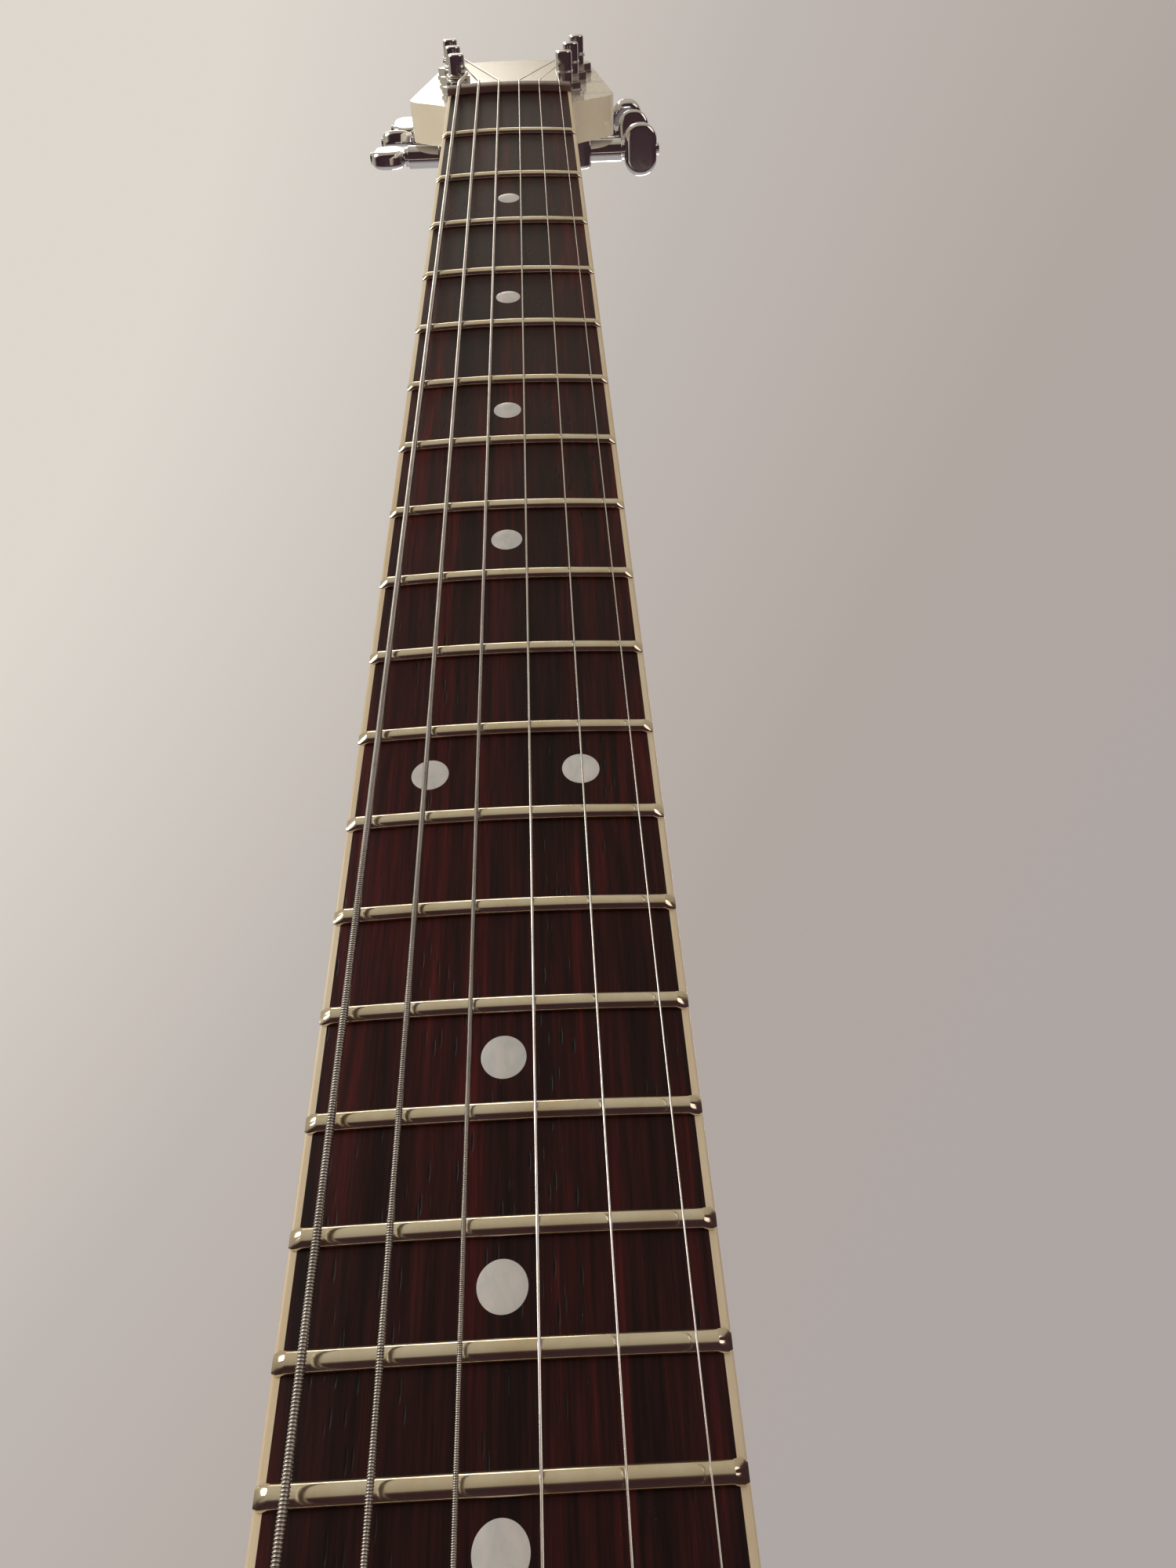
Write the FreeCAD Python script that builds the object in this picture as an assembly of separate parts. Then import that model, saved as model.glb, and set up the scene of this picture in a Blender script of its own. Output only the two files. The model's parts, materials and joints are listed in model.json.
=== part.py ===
"""Solid-body electric guitar: double cutaway, set neck, bound fretboard, three-a-side headstock.

The guitar hangs upright, as on a headstock hanger. Row frame: +Z up the neck, -Y out of the face,
+X to the treble side, origin between the headstock's two shoulders, where a hanger's arms carry it.

Everything is modelled in a plan frame, X to the treble side, Y up the neck, Z out of the face,
and save() turns it upright. Millimetres.
"""

import FreeCAD, Part

import math
import os

V = FreeCAD.Vector
X_AXIS, Y_AXIS, Z_AXIS = V(1, 0, 0), V(0, 1, 0), V(0, 0, 1)

# Driving dimensions
SCALE = 628.65  # string length, nut to bridge
FRETS = 22
NUT_WIDTH = 43.0
WIDTH_AT_12 = 52.4
STRING_SPREAD_NUT = 35.0
STRING_SPREAD_BRIDGE = 52.0
STRING_DIAMETERS = (1.168, 0.914, 0.660, 0.432, 0.330, 0.254)
STRING_NAMES = ("low_e", "a", "d", "g", "b", "high_e")
BODY_THICKNESS = 42.0
HEADSTOCK_TILT = 13.0
HEADSTOCK_LENGTH = 176.0

# Heights above the body's top, and places along the neck
NUT_Y = -8.0  # the nut's face towards the body
NUT_LENGTH = 5.0
NUT_RISE = 2.0  # above the board
BOARD_TOP = 10.5
BOARD_THICKNESS = 6.0
BOARD_RADIUS = 305.0
BINDING = 1.2
WOOD_TOP = BOARD_TOP - BOARD_THICKNESS
BOARD_END = NUT_Y - SCALE * (1 - 2 ** (-FRETS / 12)) - 6.0
JOINT_Y = -444.0  # where the heel meets the body
BRIDGE_Y = NUT_Y - SCALE
ARCH_Z = BOARD_TOP - BOARD_RADIUS  # height of the axis that the board, frets and bridge curve about

# Frets and inlays
CROWN_WIDTH, CROWN_HEIGHT = 2.8, 1.25
TANG_WIDTH, TANG_DEPTH = 0.55, 1.6
SLOT_CLEARANCE = 0.05
FRET_BEVEL = 52.0  # of the ends, in degrees from upright
DOT_RADIUS, DOT_DEPTH = 3.175, 1.6
DOUBLE_DOT_X = 12.8
SINGLE_DOT_FRETS = (3, 5, 7, 9, 15, 17, 19, 21)

# Strings over the board
ACTION_AT_NUT = 1.55  # underside of the strings above the board
ACTION_AT_BRIDGE = 4.4

# Headstock and tuners, in the headstock's own frame: X across, Y up its face, Z out of its face
HEAD_Y, HEAD_Z = NUT_Y + NUT_LENGTH, WOOD_TOP
HEAD_THICKNESS = 13.0
FACING = 1.5
POST_PLACES = ((20.0, 31.0), (23.5, 69.0), (27.0, 107.0))
POST_RADIUS, POST_TOP = 3.0, 13.5
POST_HOLE_RADIUS = 4.9
KEY_AXIS_Z = -18.2
KEY_ANGLES = (90, 70, 100, 15, -10, 0)  # where each button was left after tuning
WORM_RADIUS, WORM_GEAR_RADIUS = 2.4, 5.2
KEY_OFFSET_Y = WORM_RADIUS + WORM_GEAR_RADIUS + 0.05  # worm axis below the post's axis
KEY_SHAFT_RADIUS, KEY_SHOULDER_X = 2.0, 41.9
BUTTON_LENGTH, BUTTON_HALF_WIDTH, BUTTON_HALF_THICKNESS = 12.4, 8.8, 3.0
BUTTON_CORNER, BUTTON_EDGE = 5.7, 1.9
LUG_REACH, LUG_RADIUS, LUG_LOW = 4.5, 3.6, -HEAD_THICKNESS - 2.0
WRAP_Z = 7.3  # where a string meets its post, above the headstock
POST_TURNS = 2
TRUSS_HALF, TRUSS_DEPTH, TRUSS_AXIS_DEPTH, TRUSS_POCKET = 3.0, 9.0, 5.5, 22.0
TRUSS_NUT_START, TRUSS_NUT_LENGTH = 1.3, 10.0  # beyond the nut's back
ROD_COVER_SCREWS = ((-7.0, 9.5), (7.0, 9.5), (0.0, 43.0))

# Body
BODY_EDGE_ROUND = 5.0
TREBLE_SIDE = (
    (30, JOINT_Y), (60, -443), (88, -436), (106, -417), (119, -400), (132, -394), (144, -403),
    (148, -428), (139, -468), (121, -509), (113, -547), (125, -590), (149, -630), (162, -668),
    (152, -708), (118, -737), (60, -751), (0, -753),
)  # fmt: skip
BASS_SIDE = (
    (-62, -749), (-122, -734), (-157, -702), (-166, -655), (-154, -612), (-130, -570), (-115, -526),
    (-118, -488), (-134, -448), (-143, -408), (-137, -374), (-121, -360), (-105, -368),
    (-92, -396), (-77, -425), (-53, -441), (-30, JOINT_Y),
)  # fmt: skip
GLUE_LINES = (-80.0, 90.0)  # the body is three boards, joined along the neck's direction
TENON_HALF, TENON_END, TENON_DEPTH = 19.0, -468.0, 30.0
TOP_OVER_CAVITY = 7.0
CAVITY_CORNERS = ((52, -598), (112, -600), (140, -640), (140, -690), (108, -712), (52, -712))
CAVITY_CORNER_RADIUS = 14.0
COVER_THICKNESS, COVER_LEDGE = 2.5, 7.0
CAVITY_COVER_SCREWS = ((48.6, -655), (96, -595.8), (143.4, -665), (80, -715.4))
PILOT = 1.6  # radius of the pilot holes for the small screws, and of their shanks and clear holes
SCREW_HEAD, SCREW_SHANK, SCREW_CLEAR = 2.4, 1.2, 1.4
WIRE_CHANNEL_Z = -17.0
WIRE_CHANNEL = ((25, -491), (30, -597), (70, -625))
HORN_BUTTON_Y, TAIL_BUTTON_Y = -359.7, -753.3
STRAP_SCREW = 1.9

# Pickups
PICKUP_PLACES = (-491.0, -597.0)
PICKUP_LENGTH, PICKUP_WIDTH, PICKUP_TOP, PICKUP_SKIRT = 86.0, 37.0, 11.2, -6.0
PICKUP_WALL = 1.6
PICKUP_CAVITY_FLOOR = -24.0
POLE_SPACING = 10.2
PICKUP_SCREW_X, PICKUP_SCREW_SHANK, PICKUP_SCREW_END = 35.0, 1.4, -34.0
POLE_HEAD_HEIGHT = 1.6

# Bridge bar, its studs and the controls
BAR_RADIUS = 4.0
BAR_HALF_LENGTH = 33.8
BAR_DEPTH = 11.0
BAR_FLOOR = 2.0
BAR_CENTRE_Z = BOARD_TOP + ACTION_AT_BRIDGE - BAR_RADIUS
EAR_RADIUS, EAR_LOW, EAR_HIGH = 9.0, 2.5, 9.3
BALL_RADIUS, BALL_HALF_LENGTH, BALL_POCKET = 1.9, 1.5, 2.6
BALL_Y = BRIDGE_Y + BAR_DEPTH - 4.5
STUD_X, STUD_Y = 41.0, BRIDGE_Y + 5.0
STUD_THREAD, STUD_NECK, STUD_FLANGE = 4.0, 3.5, 6.5
BUSHING_RADIUS, BUSHING_DEPTH = 5.5, 22.0
VOLUME_PLACE, TONE_PLACE, SWITCH_PLACE = (76, -650), (100, -691), (114, -640)
KNOB_RADIUS, KNOB_HEIGHT, KNOB_FLOOR = 11.0, 15.5, 4.2
KNOB_GROOVES, GROOVE_REACH = 36, KNOB_RADIUS + 0.25
POT_BUSHING, POT_SHAFT, POT_CAN = 4.75, 3.0, 12.0
SWITCH_BUSHING, SWITCH_BORE, SWITCH_PIVOT_Z, SWITCH_PIN = 6.0, 4.2, 0.5, 0.85
LEVER_RADIUS, LEVER_TOP = 1.4, 12.0
TIP_LOW, TIP_RIM, TIP_TOP, TIP_NECK, TIP_RADIUS = 6.5, 17.0, 21.1, 2.9, 4.1
JACK_PLATE, JACK_PLATE_THICKNESS, JACK_SLEEVE = 30.0, 1.6, 4.75
JACK_Y, JACK_Z = -668.0, -21.0
JACK_FACE_X = 160.5
JACK_BORE = 3.25


def box(x0, x1, y0, y1, z0, z1):
    return Part.makeBox(x1 - x0, y1 - y0, z1 - z0, V(x0, y0, z0))


def rod(radius, start, end):
    start, end = V(*start), V(*end)
    return Part.makeCylinder(radius, (end - start).Length, start, end - start)


def upright_rod(radius, x, y, z0, z1):
    return rod(radius, (x, y, z0), (x, y, z1))


def plate(points, z0, z1):
    """A prism on a polygon of (x, y) points."""
    wire = Part.makePolygon([V(x, y, z0) for x, y in (*points, points[0])])
    return Part.Face(wire).extrude(V(0, 0, z1 - z0))


def round_uprights(solid, radius):
    """Rounds the edges that run along Z."""
    edges = [e for e in solid.Edges if abs(e.Vertexes[0].Z - e.Vertexes[-1].Z) > 0.5]
    return solid.makeFillet(radius, edges)


def edges_at(solid, z):
    return [e for e in solid.Edges if all(abs(v.Z - z) < 1e-4 for v in e.Vertexes)]


def curve(points, closed=False):
    spline = Part.BSplineCurve()
    spline.interpolate(Points=[V(*p) for p in points], PeriodicFlag=closed)
    return spline.toShape()


def dome_arc(radius, z_rim, z_top):
    """An arc in the Y = 0 plane, from a rim up to the Z axis, centred on that axis."""
    height = z_top - z_rim
    sphere = (radius * radius + height * height) / (2 * height)
    half_angle = math.atan2(radius, sphere - height) / 2
    middle = V(sphere * math.sin(half_angle), 0, z_top - sphere * (1 - math.cos(half_angle)))
    return Part.Arc(V(radius, 0, z_rim), middle, V(0, 0, z_top)).toShape()


def hexagon(across, x, y, z0, z1):
    reach = across / math.sqrt(3)
    corners = [math.radians(60 * k) for k in range(6)]
    return plate([(x + reach * math.cos(a), y + reach * math.sin(a)) for a in corners], z0, z1)


def wood_screw(x, y, z_head, length, up=1):
    """A slotted screw whose head sits on z_head. It points down, or up with up=-1."""
    head = upright_rod(SCREW_HEAD, x, y, z_head, z_head + 1.2 * up)
    rim = [e for e in head.Edges if abs(e.BoundBox.Center.z - z_head - 1.2 * up) < 1e-6]
    head = head.makeFillet(0.4, [e for e in rim if e.BoundBox.ZLength < 1e-6])
    shank = upright_rod(SCREW_SHANK, x, y, z_head - length * up, z_head)
    low, high = sorted((z_head + 0.7 * up, z_head + 2 * up))
    return head.fuse(shank).cut(box(x - 3, x + 3, y - 0.4, y + 0.4, low, high))


def arch(radius):
    """The cylinder that a surface of this radius about the arch axis lies on."""
    return Part.makeCylinder(radius, 900, V(0, -860, ARCH_Z), Y_AXIS)


def sweep_over_arch(profile, half_width, radius=BOARD_RADIUS):
    """Turns a profile in the X = 0 plane about the arch axis, half_width to each side."""
    angle = math.degrees(math.asin(half_width / radius))
    start = profile.copy()
    start.rotate(V(0, 0, ARCH_Z), Y_AXIS, -angle)
    return start.revolve(V(0, 0, ARCH_Z), Y_AXIS, 2 * angle)


def fret_y(number):
    return NUT_Y - SCALE * (1 - 2 ** (-number / 12))


def middle_of_fret(number):
    return (fret_y(number) + fret_y(number - 1)) / 2


def board_half(y):
    return NUT_WIDTH / 2 + (WIDTH_AT_12 - NUT_WIDTH) * (NUT_Y - y) / SCALE


def board_prism(inset, end_inset, z0, z1, start=NUT_Y):
    end = BOARD_END + end_inset
    a, b = board_half(start) - inset, board_half(end) - inset
    return plate([(-a, start), (a, start), (b, end), (-b, end)], z0, z1)


def dot_places():
    singles = [(0, middle_of_fret(n)) for n in SINGLE_DOT_FRETS]
    return singles + [(x, middle_of_fret(12)) for x in (-DOUBLE_DOT_X, DOUBLE_DOT_X)]


def fretboard():
    board = board_prism(BINDING, BINDING, WOOD_TOP, BOARD_TOP + 1).common(arch(BOARD_RADIUS))
    half = TANG_WIDTH / 2 + SLOT_CLEARANCE / 2
    slot_floor = BOARD_TOP - TANG_DEPTH - 2.0
    slots = [
        box(-40, 40, fret_y(n) - half, fret_y(n) + half, slot_floor, BOARD_TOP + 1)
        for n in range(1, FRETS + 1)
    ]
    holes = [
        upright_rod(DOT_RADIUS, x, y, BOARD_TOP - DOT_DEPTH, BOARD_TOP + 1)
        for x, y in dot_places()
    ]
    return [board.cut(Part.makeCompound(slots)).cut(Part.makeCompound(holes))]


def fretboard_binding():
    outer = board_prism(0, 0, WOOD_TOP, BOARD_TOP + 1).common(arch(BOARD_RADIUS))
    strip = outer.cut(board_prism(BINDING, BINDING, WOOD_TOP - 1, BOARD_TOP + 2, NUT_Y + 1))
    return [strip.cut(Part.makeCompound(side_dots()))]


def side_dots():
    numbers = [(n, 0) for n in SINGLE_DOT_FRETS] + [(12, -4), (12, 4)]
    dots = []
    for number, shift in numbers:
        y = middle_of_fret(number) + shift
        edge = -board_half(y)
        z = WOOD_TOP + 2.6
        pin = rod(1.0, (edge - 1, y, z), (edge + BINDING - 0.1, y, z))
        dots.append(pin.common(board_prism(0, 0, WOOD_TOP, BOARD_TOP)))
    return dots


def position_dots():
    skin = arch(BOARD_RADIUS)
    return [
        upright_rod(DOT_RADIUS, x, y, BOARD_TOP - DOT_DEPTH, BOARD_TOP + 1).common(skin)
        for x, y in dot_places()
    ]


def fret(number):
    """A crown over the board and its binding, bevelled at both ends, with a tang in the slot."""
    y = fret_y(number)
    half = board_half(y) - 0.1
    front = V(0, y - CROWN_WIDTH / 2, BOARD_TOP)
    back = V(0, y + CROWN_WIDTH / 2, BOARD_TOP)
    top = Part.Arc(front, V(0, y, BOARD_TOP + CROWN_HEIGHT), back).toShape()
    profile = Part.Face(Part.Wire([top, Part.makeLine(back, front)]))
    crown = sweep_over_arch(profile, half)
    edge_z = BOARD_TOP - half * half / (2 * BOARD_RADIUS)
    for side in (-1, 1):
        wedge = box(0, 6, y - 3, y + 3, -1, 5)
        wedge.rotate(V(0, 0, 0), Y_AXIS, -FRET_BEVEL)
        if side < 0:
            wedge = wedge.mirror(V(0, 0, 0), X_AXIS)
        wedge.translate(V(side * half, 0, edge_z))
        crown = crown.cut(wedge)
    low, high = BOARD_TOP - TANG_DEPTH, BOARD_TOP
    a, b = y - TANG_WIDTH / 2, y + TANG_WIDTH / 2
    corners = [V(0, a, low), V(0, b, low), V(0, b, high), V(0, a, high), V(0, a, low)]
    tang = sweep_over_arch(Part.Face(Part.makePolygon(corners)), half - BINDING - 0.4)
    return crown.fuse(tang)


def neck_section(y, half, depth):
    """A flat top and a rounded back, as two curves that meet at the lowest point."""
    top, low = WOOD_TOP, WOOD_TOP - depth
    fullness = 0.62
    sides = []
    for side in (1, -1):
        bezier = Part.BezierCurve()
        poles = [
            V(side * half, y, top),
            V(side * half, y, top - fullness * depth),
            V(side * half * fullness, y, low),
            V(0, y, low),
        ]
        bezier.setPoles(poles if side > 0 else poles[::-1])
        sides.append(bezier.toShape())
    line = Part.makeLine(V(-half, y, top), V(half, y, top))
    return Part.Wire([line, *sides])


def headstock_outline():
    """The closed outline in the headstock's own frame."""
    flare = ((21.4, -3), (23.6, 3), (30.0, 11.5), (35.8, 18.5), (38.0, 28))
    crown = ((34.0, 150), (31.5, 164), (19.0, 172), (0, HEADSTOCK_LENGTH))
    right = [curve([(x, y, 0) for x, y in flare])]
    right.append(Part.makeLine(V(38.0, 28, 0), V(34.0, 150, 0)))
    top = curve([(x, y, 0) for x, y in (*crown, *[(-x, y) for x, y in crown[-2::-1]])])
    left = [curve([(-x, y, 0) for x, y in flare])]
    left.append(Part.makeLine(V(-38.0, 28, 0), V(-34.0, 150, 0)))
    foot = Part.makePolygon([V(-21.4, -3, 0), V(-20.6, -16, 0), V(20.6, -16, 0), V(21.4, -3, 0)])
    edges = [*right, top, *left, *foot.Edges]
    return Part.Face(Part.Wire(Part.__sortEdges__(edges)))


def onto_headstock(shape):
    """Moves a shape from the headstock's own frame into the plan frame."""
    moved = shape.copy()
    moved.rotate(V(0, 0, 0), X_AXIS, -HEADSTOCK_TILT)
    moved.translate(V(0, HEAD_Y, HEAD_Z))
    return moved


def headstock_layer(z0, z1, y_start):
    """A layer of the headstock, from y_start on, kept below the nut's shelf."""
    outline = headstock_outline()
    outline.translate(V(0, 0, z0))
    layer = onto_headstock(outline.extrude(V(0, 0, z1 - z0)))
    return layer.common(box(-60, 60, y_start, 200, -90, WOOD_TOP))


def post_places():
    """(x, y, side) of the six posts, bass side first, counted from the nut."""
    bass = [(-x, y, -1) for x, y in POST_PLACES]
    treble = [(x, y, 1) for x, y in POST_PLACES[::-1]]
    return bass + treble


def truss_channel():
    """The slot under the board, open as a pocket on the headstock."""
    return box(-TRUSS_HALF, TRUSS_HALF, -455, HEAD_Y + TRUSS_POCKET, WOOD_TOP - TRUSS_DEPTH, WOOD_TOP)


def neck():
    shaft = Part.makeLoft(
        [neck_section(HEAD_Y, board_half(NUT_Y), 14.5), neck_section(-400, board_half(-400), 17.0)],
        True,
        True,
    )
    heel_steps = ((-400, 17.0), (-412, 18.6), (-424, 24.0), (-435, 33.0), (JOINT_Y, 39.5))
    heel = Part.makeLoft([neck_section(y, board_half(y), d) for y, d in heel_steps], True, False)
    extension = board_prism(0.2, 0, 0, WOOD_TOP, JOINT_Y + 4)
    tenon = box(-TENON_HALF, TENON_HALF, TENON_END, JOINT_Y + 4, -TENON_DEPTH, 0)
    tongue = box(-TENON_HALF, TENON_HALF, TENON_END, BOARD_END + 4, -TENON_DEPTH, 0)
    head = headstock_layer(-HEAD_THICKNESS, -FACING, -60)
    whole = shaft.fuse([heel, extension, tenon, tongue, head])
    holes = [
        onto_headstock(upright_rod(POST_HOLE_RADIUS, x, y, -30, 5)) for x, y, _ in post_places()
    ]
    pilots = [
        onto_headstock(upright_rod(PILOT, x, y, -HEAD_THICKNESS - 1, -HEAD_THICKNESS + 6))
        for x, y in housing_screw_places()
    ]
    cover_pilots = [onto_headstock(upright_rod(PILOT, x, y, -9, 1)) for x, y in ROD_COVER_SCREWS]
    cuts = [truss_channel(), *holes, *pilots, *cover_pilots]
    return [whole.cut(Part.makeCompound(cuts)).removeSplitter()]


def headstock_facing():
    layer = headstock_layer(-FACING, 0, HEAD_Y)
    holes = [
        onto_headstock(upright_rod(POST_HOLE_RADIUS, x, y, -5, 5)) for x, y, _ in post_places()
    ]
    pilots = [onto_headstock(upright_rod(PILOT, x, y, -9, 1)) for x, y in ROD_COVER_SCREWS]
    return [layer.cut(Part.makeCompound([truss_channel(), *holes, *pilots]))]


def truss_rod_cover():
    """A long rounded tab over the truss rod's pocket."""
    tab = plate([(-9, 4), (9, 4), (12, 24), (7, 47), (-7, 47), (-12, 24)], 0, 2.0)
    tab = round_uprights(tab, 3.5)
    tab = tab.makeFillet(0.6, edges_at(tab, 2.0))
    holes = [upright_rod(SCREW_CLEAR, x, y, -1, 4) for x, y in ROD_COVER_SCREWS]
    return [onto_headstock(tab.cut(Part.makeCompound(holes)))]


def truss_rod():
    z = WOOD_TOP - TRUSS_AXIS_DEPTH
    steel = rod(2.4, (0, -452, z), (0, HEAD_Y + TRUSS_NUT_START - 0.2, z))
    anchor = box(-2.9, 2.9, -454, -446, z - 3, z + 3)
    return [steel.fuse(anchor)]


def truss_rod_nut():
    hex_nut = hexagon(5.0, 0, 0, 0, TRUSS_NUT_LENGTH)
    hex_nut = hex_nut.cut(upright_rod(1.6, 0, 0, 4, TRUSS_NUT_LENGTH + 1))
    hex_nut.rotate(V(0, 0, 0), X_AXIS, -90)
    hex_nut.translate(V(0, HEAD_Y + TRUSS_NUT_START, WOOD_TOP - TRUSS_AXIS_DEPTH))
    return [hex_nut]


def nut():
    """A dark nut with a round-bottomed slot for each string."""
    block = box(-NUT_WIDTH / 2, NUT_WIDTH / 2, NUT_Y, HEAD_Y, WOOD_TOP, BOARD_TOP + 5)
    block = block.common(arch(BOARD_RADIUS + NUT_RISE))
    for index in range(6):
        radius = STRING_DIAMETERS[index] / 2 + 0.04
        x, z = string_at_nut(index)
        groove = rod(radius, (x, NUT_Y - 2, z), (x, HEAD_Y + 2, z))
        above = box(x - radius, x + radius, NUT_Y - 2, HEAD_Y + 2, z, z + 4)
        block = block.cut(groove.fuse(above))
    return [block]


def string_at_nut(index):
    """(x, z) of a string's centre over the nut."""
    x = STRING_SPREAD_NUT * (index / 5 - 0.5)
    reach = BOARD_RADIUS + ACTION_AT_NUT + STRING_DIAMETERS[index] / 2
    return x, ARCH_Z + math.sqrt(reach * reach - x * x)


def bar_angle(index):
    """How far round the arch a string crosses the bridge, in degrees."""
    x = STRING_SPREAD_BRIDGE * (index / 5 - 0.5)
    return math.degrees(math.asin(x / (BOARD_RADIUS + ACTION_AT_BRIDGE)))


def swing(shape, degrees):
    moved = shape.copy()
    moved.rotate(V(0, 0, ARCH_Z), Y_AXIS, degrees)
    return moved


def bridge_bar():
    """A one-piece wraparound bridge: an arched bar between two ears that hook over the studs."""
    y, z = BRIDGE_Y, BAR_CENTRE_Z
    low, high = V(0, y, z - BAR_RADIUS), V(0, y, z + BAR_RADIUS)
    nose, chin = V(0, y + 8.0, z + 2.9), V(0, y + BAR_DEPTH, z - 0.5)
    front_low, back_low = V(0, y + BAR_DEPTH, BAR_FLOOR), V(0, y, BAR_FLOOR)
    edges = [
        Part.Arc(low, V(0, y - BAR_RADIUS, z), high).toShape(),
        Part.makeLine(high, nose),
        Part.Arc(nose, V(0, y + 10.3, z + 1.5), chin).toShape(),
        Part.makeLine(chin, front_low),
        Part.makeLine(front_low, back_low),
        Part.makeLine(back_low, low),
    ]
    bar = sweep_over_arch(Part.Face(Part.Wire(edges)), BAR_HALF_LENGTH)
    holes, ears = [], []
    for index in range(6):
        radius = STRING_DIAMETERS[index] / 2
        z_hole = BAR_CENTRE_Z - BAR_RADIUS - radius
        bore = rod(radius + 0.25, (0, y - 2, z_hole), (0, y + BAR_DEPTH + 1, z_hole))
        pocket_start = BALL_Y - BALL_RADIUS - 0.3
        pocket = rod(BALL_POCKET, (0, pocket_start, z_hole), (0, y + BAR_DEPTH + 1, z_hole))
        holes.append(swing(bore.fuse(pocket), bar_angle(index)))
    for side in (-1, 1):
        x = side * STUD_X
        ear = upright_rod(EAR_RADIUS, x, STUD_Y, EAR_LOW, EAR_HIGH)
        inner = sorted((x, x - side * EAR_RADIUS))
        ears.append(ear.fuse(box(*inner, STUD_Y - 4.9, STUD_Y + 5.9, EAR_LOW, EAR_HIGH)))
        slot = STUD_NECK + 0.2
        holes.append(upright_rod(slot, x, STUD_Y, 0, 12))
        holes.append(box(x - slot, x + slot, STUD_Y, STUD_Y + 12, 0, 12))
        holes.append(rod(1.55, (x, STUD_Y - 12, 6), (x, STUD_Y, 6)))
    whole = bar.fuse(ears)
    whole = whole.common(box(-60, 60, y - 20, y + 30, 1.6, 20))
    return [whole.cut(Part.makeCompound(holes)).removeSplitter()]


def bridge_set_screws():
    """Short screws in the ears' backs, which push on the studs and set the strings' length."""
    return [
        rod(1.5, (side * STUD_X, STUD_Y - 9.6, 6), (side * STUD_X, STUD_Y - 3.6, 6))
        for side in (-1, 1)
    ]


def bridge_studs():
    """Slotted studs whose flanges carry the bridge and set its height."""
    studs = []
    for side in (-1, 1):
        x = side * STUD_X
        thread = upright_rod(STUD_THREAD, x, STUD_Y, -20, 0.9)
        flange = upright_rod(STUD_FLANGE, x, STUD_Y, 0.9, 2.3)
        stem = upright_rod(STUD_NECK, x, STUD_Y, 2.3, 9.5)
        head = upright_rod(STUD_FLANGE, x, STUD_Y, 9.5, 12.2)
        head = head.makeFillet(0.7, edges_at(head, 12.2))
        slot = box(x - 7, x + 7, STUD_Y - 0.7, STUD_Y + 0.7, 11.0, 13)
        studs.append(thread.fuse([flange, stem, head]).cut(slot))
    return studs


def bridge_bushings():
    """Flanged inserts in the body that the studs screw into."""
    tubes = []
    for side in (-1, 1):
        x = side * STUD_X
        tube = upright_rod(BUSHING_RADIUS, x, STUD_Y, -BUSHING_DEPTH, 0)
        tube = tube.fuse(upright_rod(BUSHING_RADIUS + 1, x, STUD_Y, 0, 0.8))
        tubes.append(tube.cut(upright_rod(STUD_THREAD + 0.05, x, STUD_Y, -21, 2)))
    return tubes


def string(index):
    """One string: ball end, wrap round the bar, run over the board and nut, and turns on its post."""
    radius = STRING_DIAMETERS[index] / 2
    angle = bar_angle(index)
    wrap = BAR_RADIUS + radius + 0.03
    z_hole, z_over = BAR_CENTRE_Z - wrap, BAR_CENTRE_Z + wrap
    ball = rod(BALL_RADIUS, (-BALL_HALF_LENGTH, BALL_Y, z_hole), (BALL_HALF_LENGTH, BALL_Y, z_hole))
    tail = rod(radius, (0, BRIDGE_Y, z_hole), (0, BALL_Y - BALL_RADIUS + 0.05, z_hole))
    disc = Part.Face(Part.Wire(Part.makeCircle(radius, V(0, BRIDGE_Y, z_hole), Y_AXIS)))
    bend = disc.revolve(V(0, BRIDGE_Y, BAR_CENTRE_Z), X_AXIS, -180)
    pieces = [swing(s, angle) for s in (ball, tail, bend)]
    # A point on the arch at the string's height, in the plane that the bar's hole lies in.
    reach = z_over - ARCH_Z
    turn = math.radians(angle)
    bridge_point = V(reach * math.sin(turn), BRIDGE_Y, ARCH_Z + reach * math.cos(turn))
    x, z = string_at_nut(index)
    nut_front, nut_back = V(x, NUT_Y, z), V(x, HEAD_Y, z - 0.05)
    post_x, post_y, side = post_places()[index]
    winding = POST_RADIUS + radius + 0.06
    touch = V(post_x - side * winding, post_y, WRAP_Z)
    touch_plan = onto_headstock(Part.Vertex(touch)).Point
    to_post = touch_plan - nut_back
    stop = nut_back + to_post * (1 - 0.2 / to_post.Length)
    pieces.append(wire([tuple(p) for p in (bridge_point, nut_front, nut_back, stop)], radius))
    pitch = 2 * radius + 0.06
    for turn_number in range(1, POST_TURNS + 1):
        place = V(post_x, post_y, WRAP_Z - turn_number * pitch)
        pieces.append(onto_headstock(Part.makeTorus(winding, radius, place)))
    return pieces


def tuner_post(index):
    """A post with a string hole and a waist, on its worm wheel."""
    x, y, _ = post_places()[index]
    stem = upright_rod(POST_RADIUS, x, y, KEY_AXIS_Z - 2.4, POST_TOP)
    stem = stem.makeFillet(0.8, edges_at(stem, POST_TOP))
    eye = rod(0.85, (x - 5, y, WRAP_Z + 1.9), (x + 5, y, WRAP_Z + 1.9))
    wheel = upright_rod(WORM_GEAR_RADIUS, x, y, KEY_AXIS_Z - 2.0, KEY_AXIS_Z + 2.0)
    return [onto_headstock(stem.fuse(wheel).cut(eye))]


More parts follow.
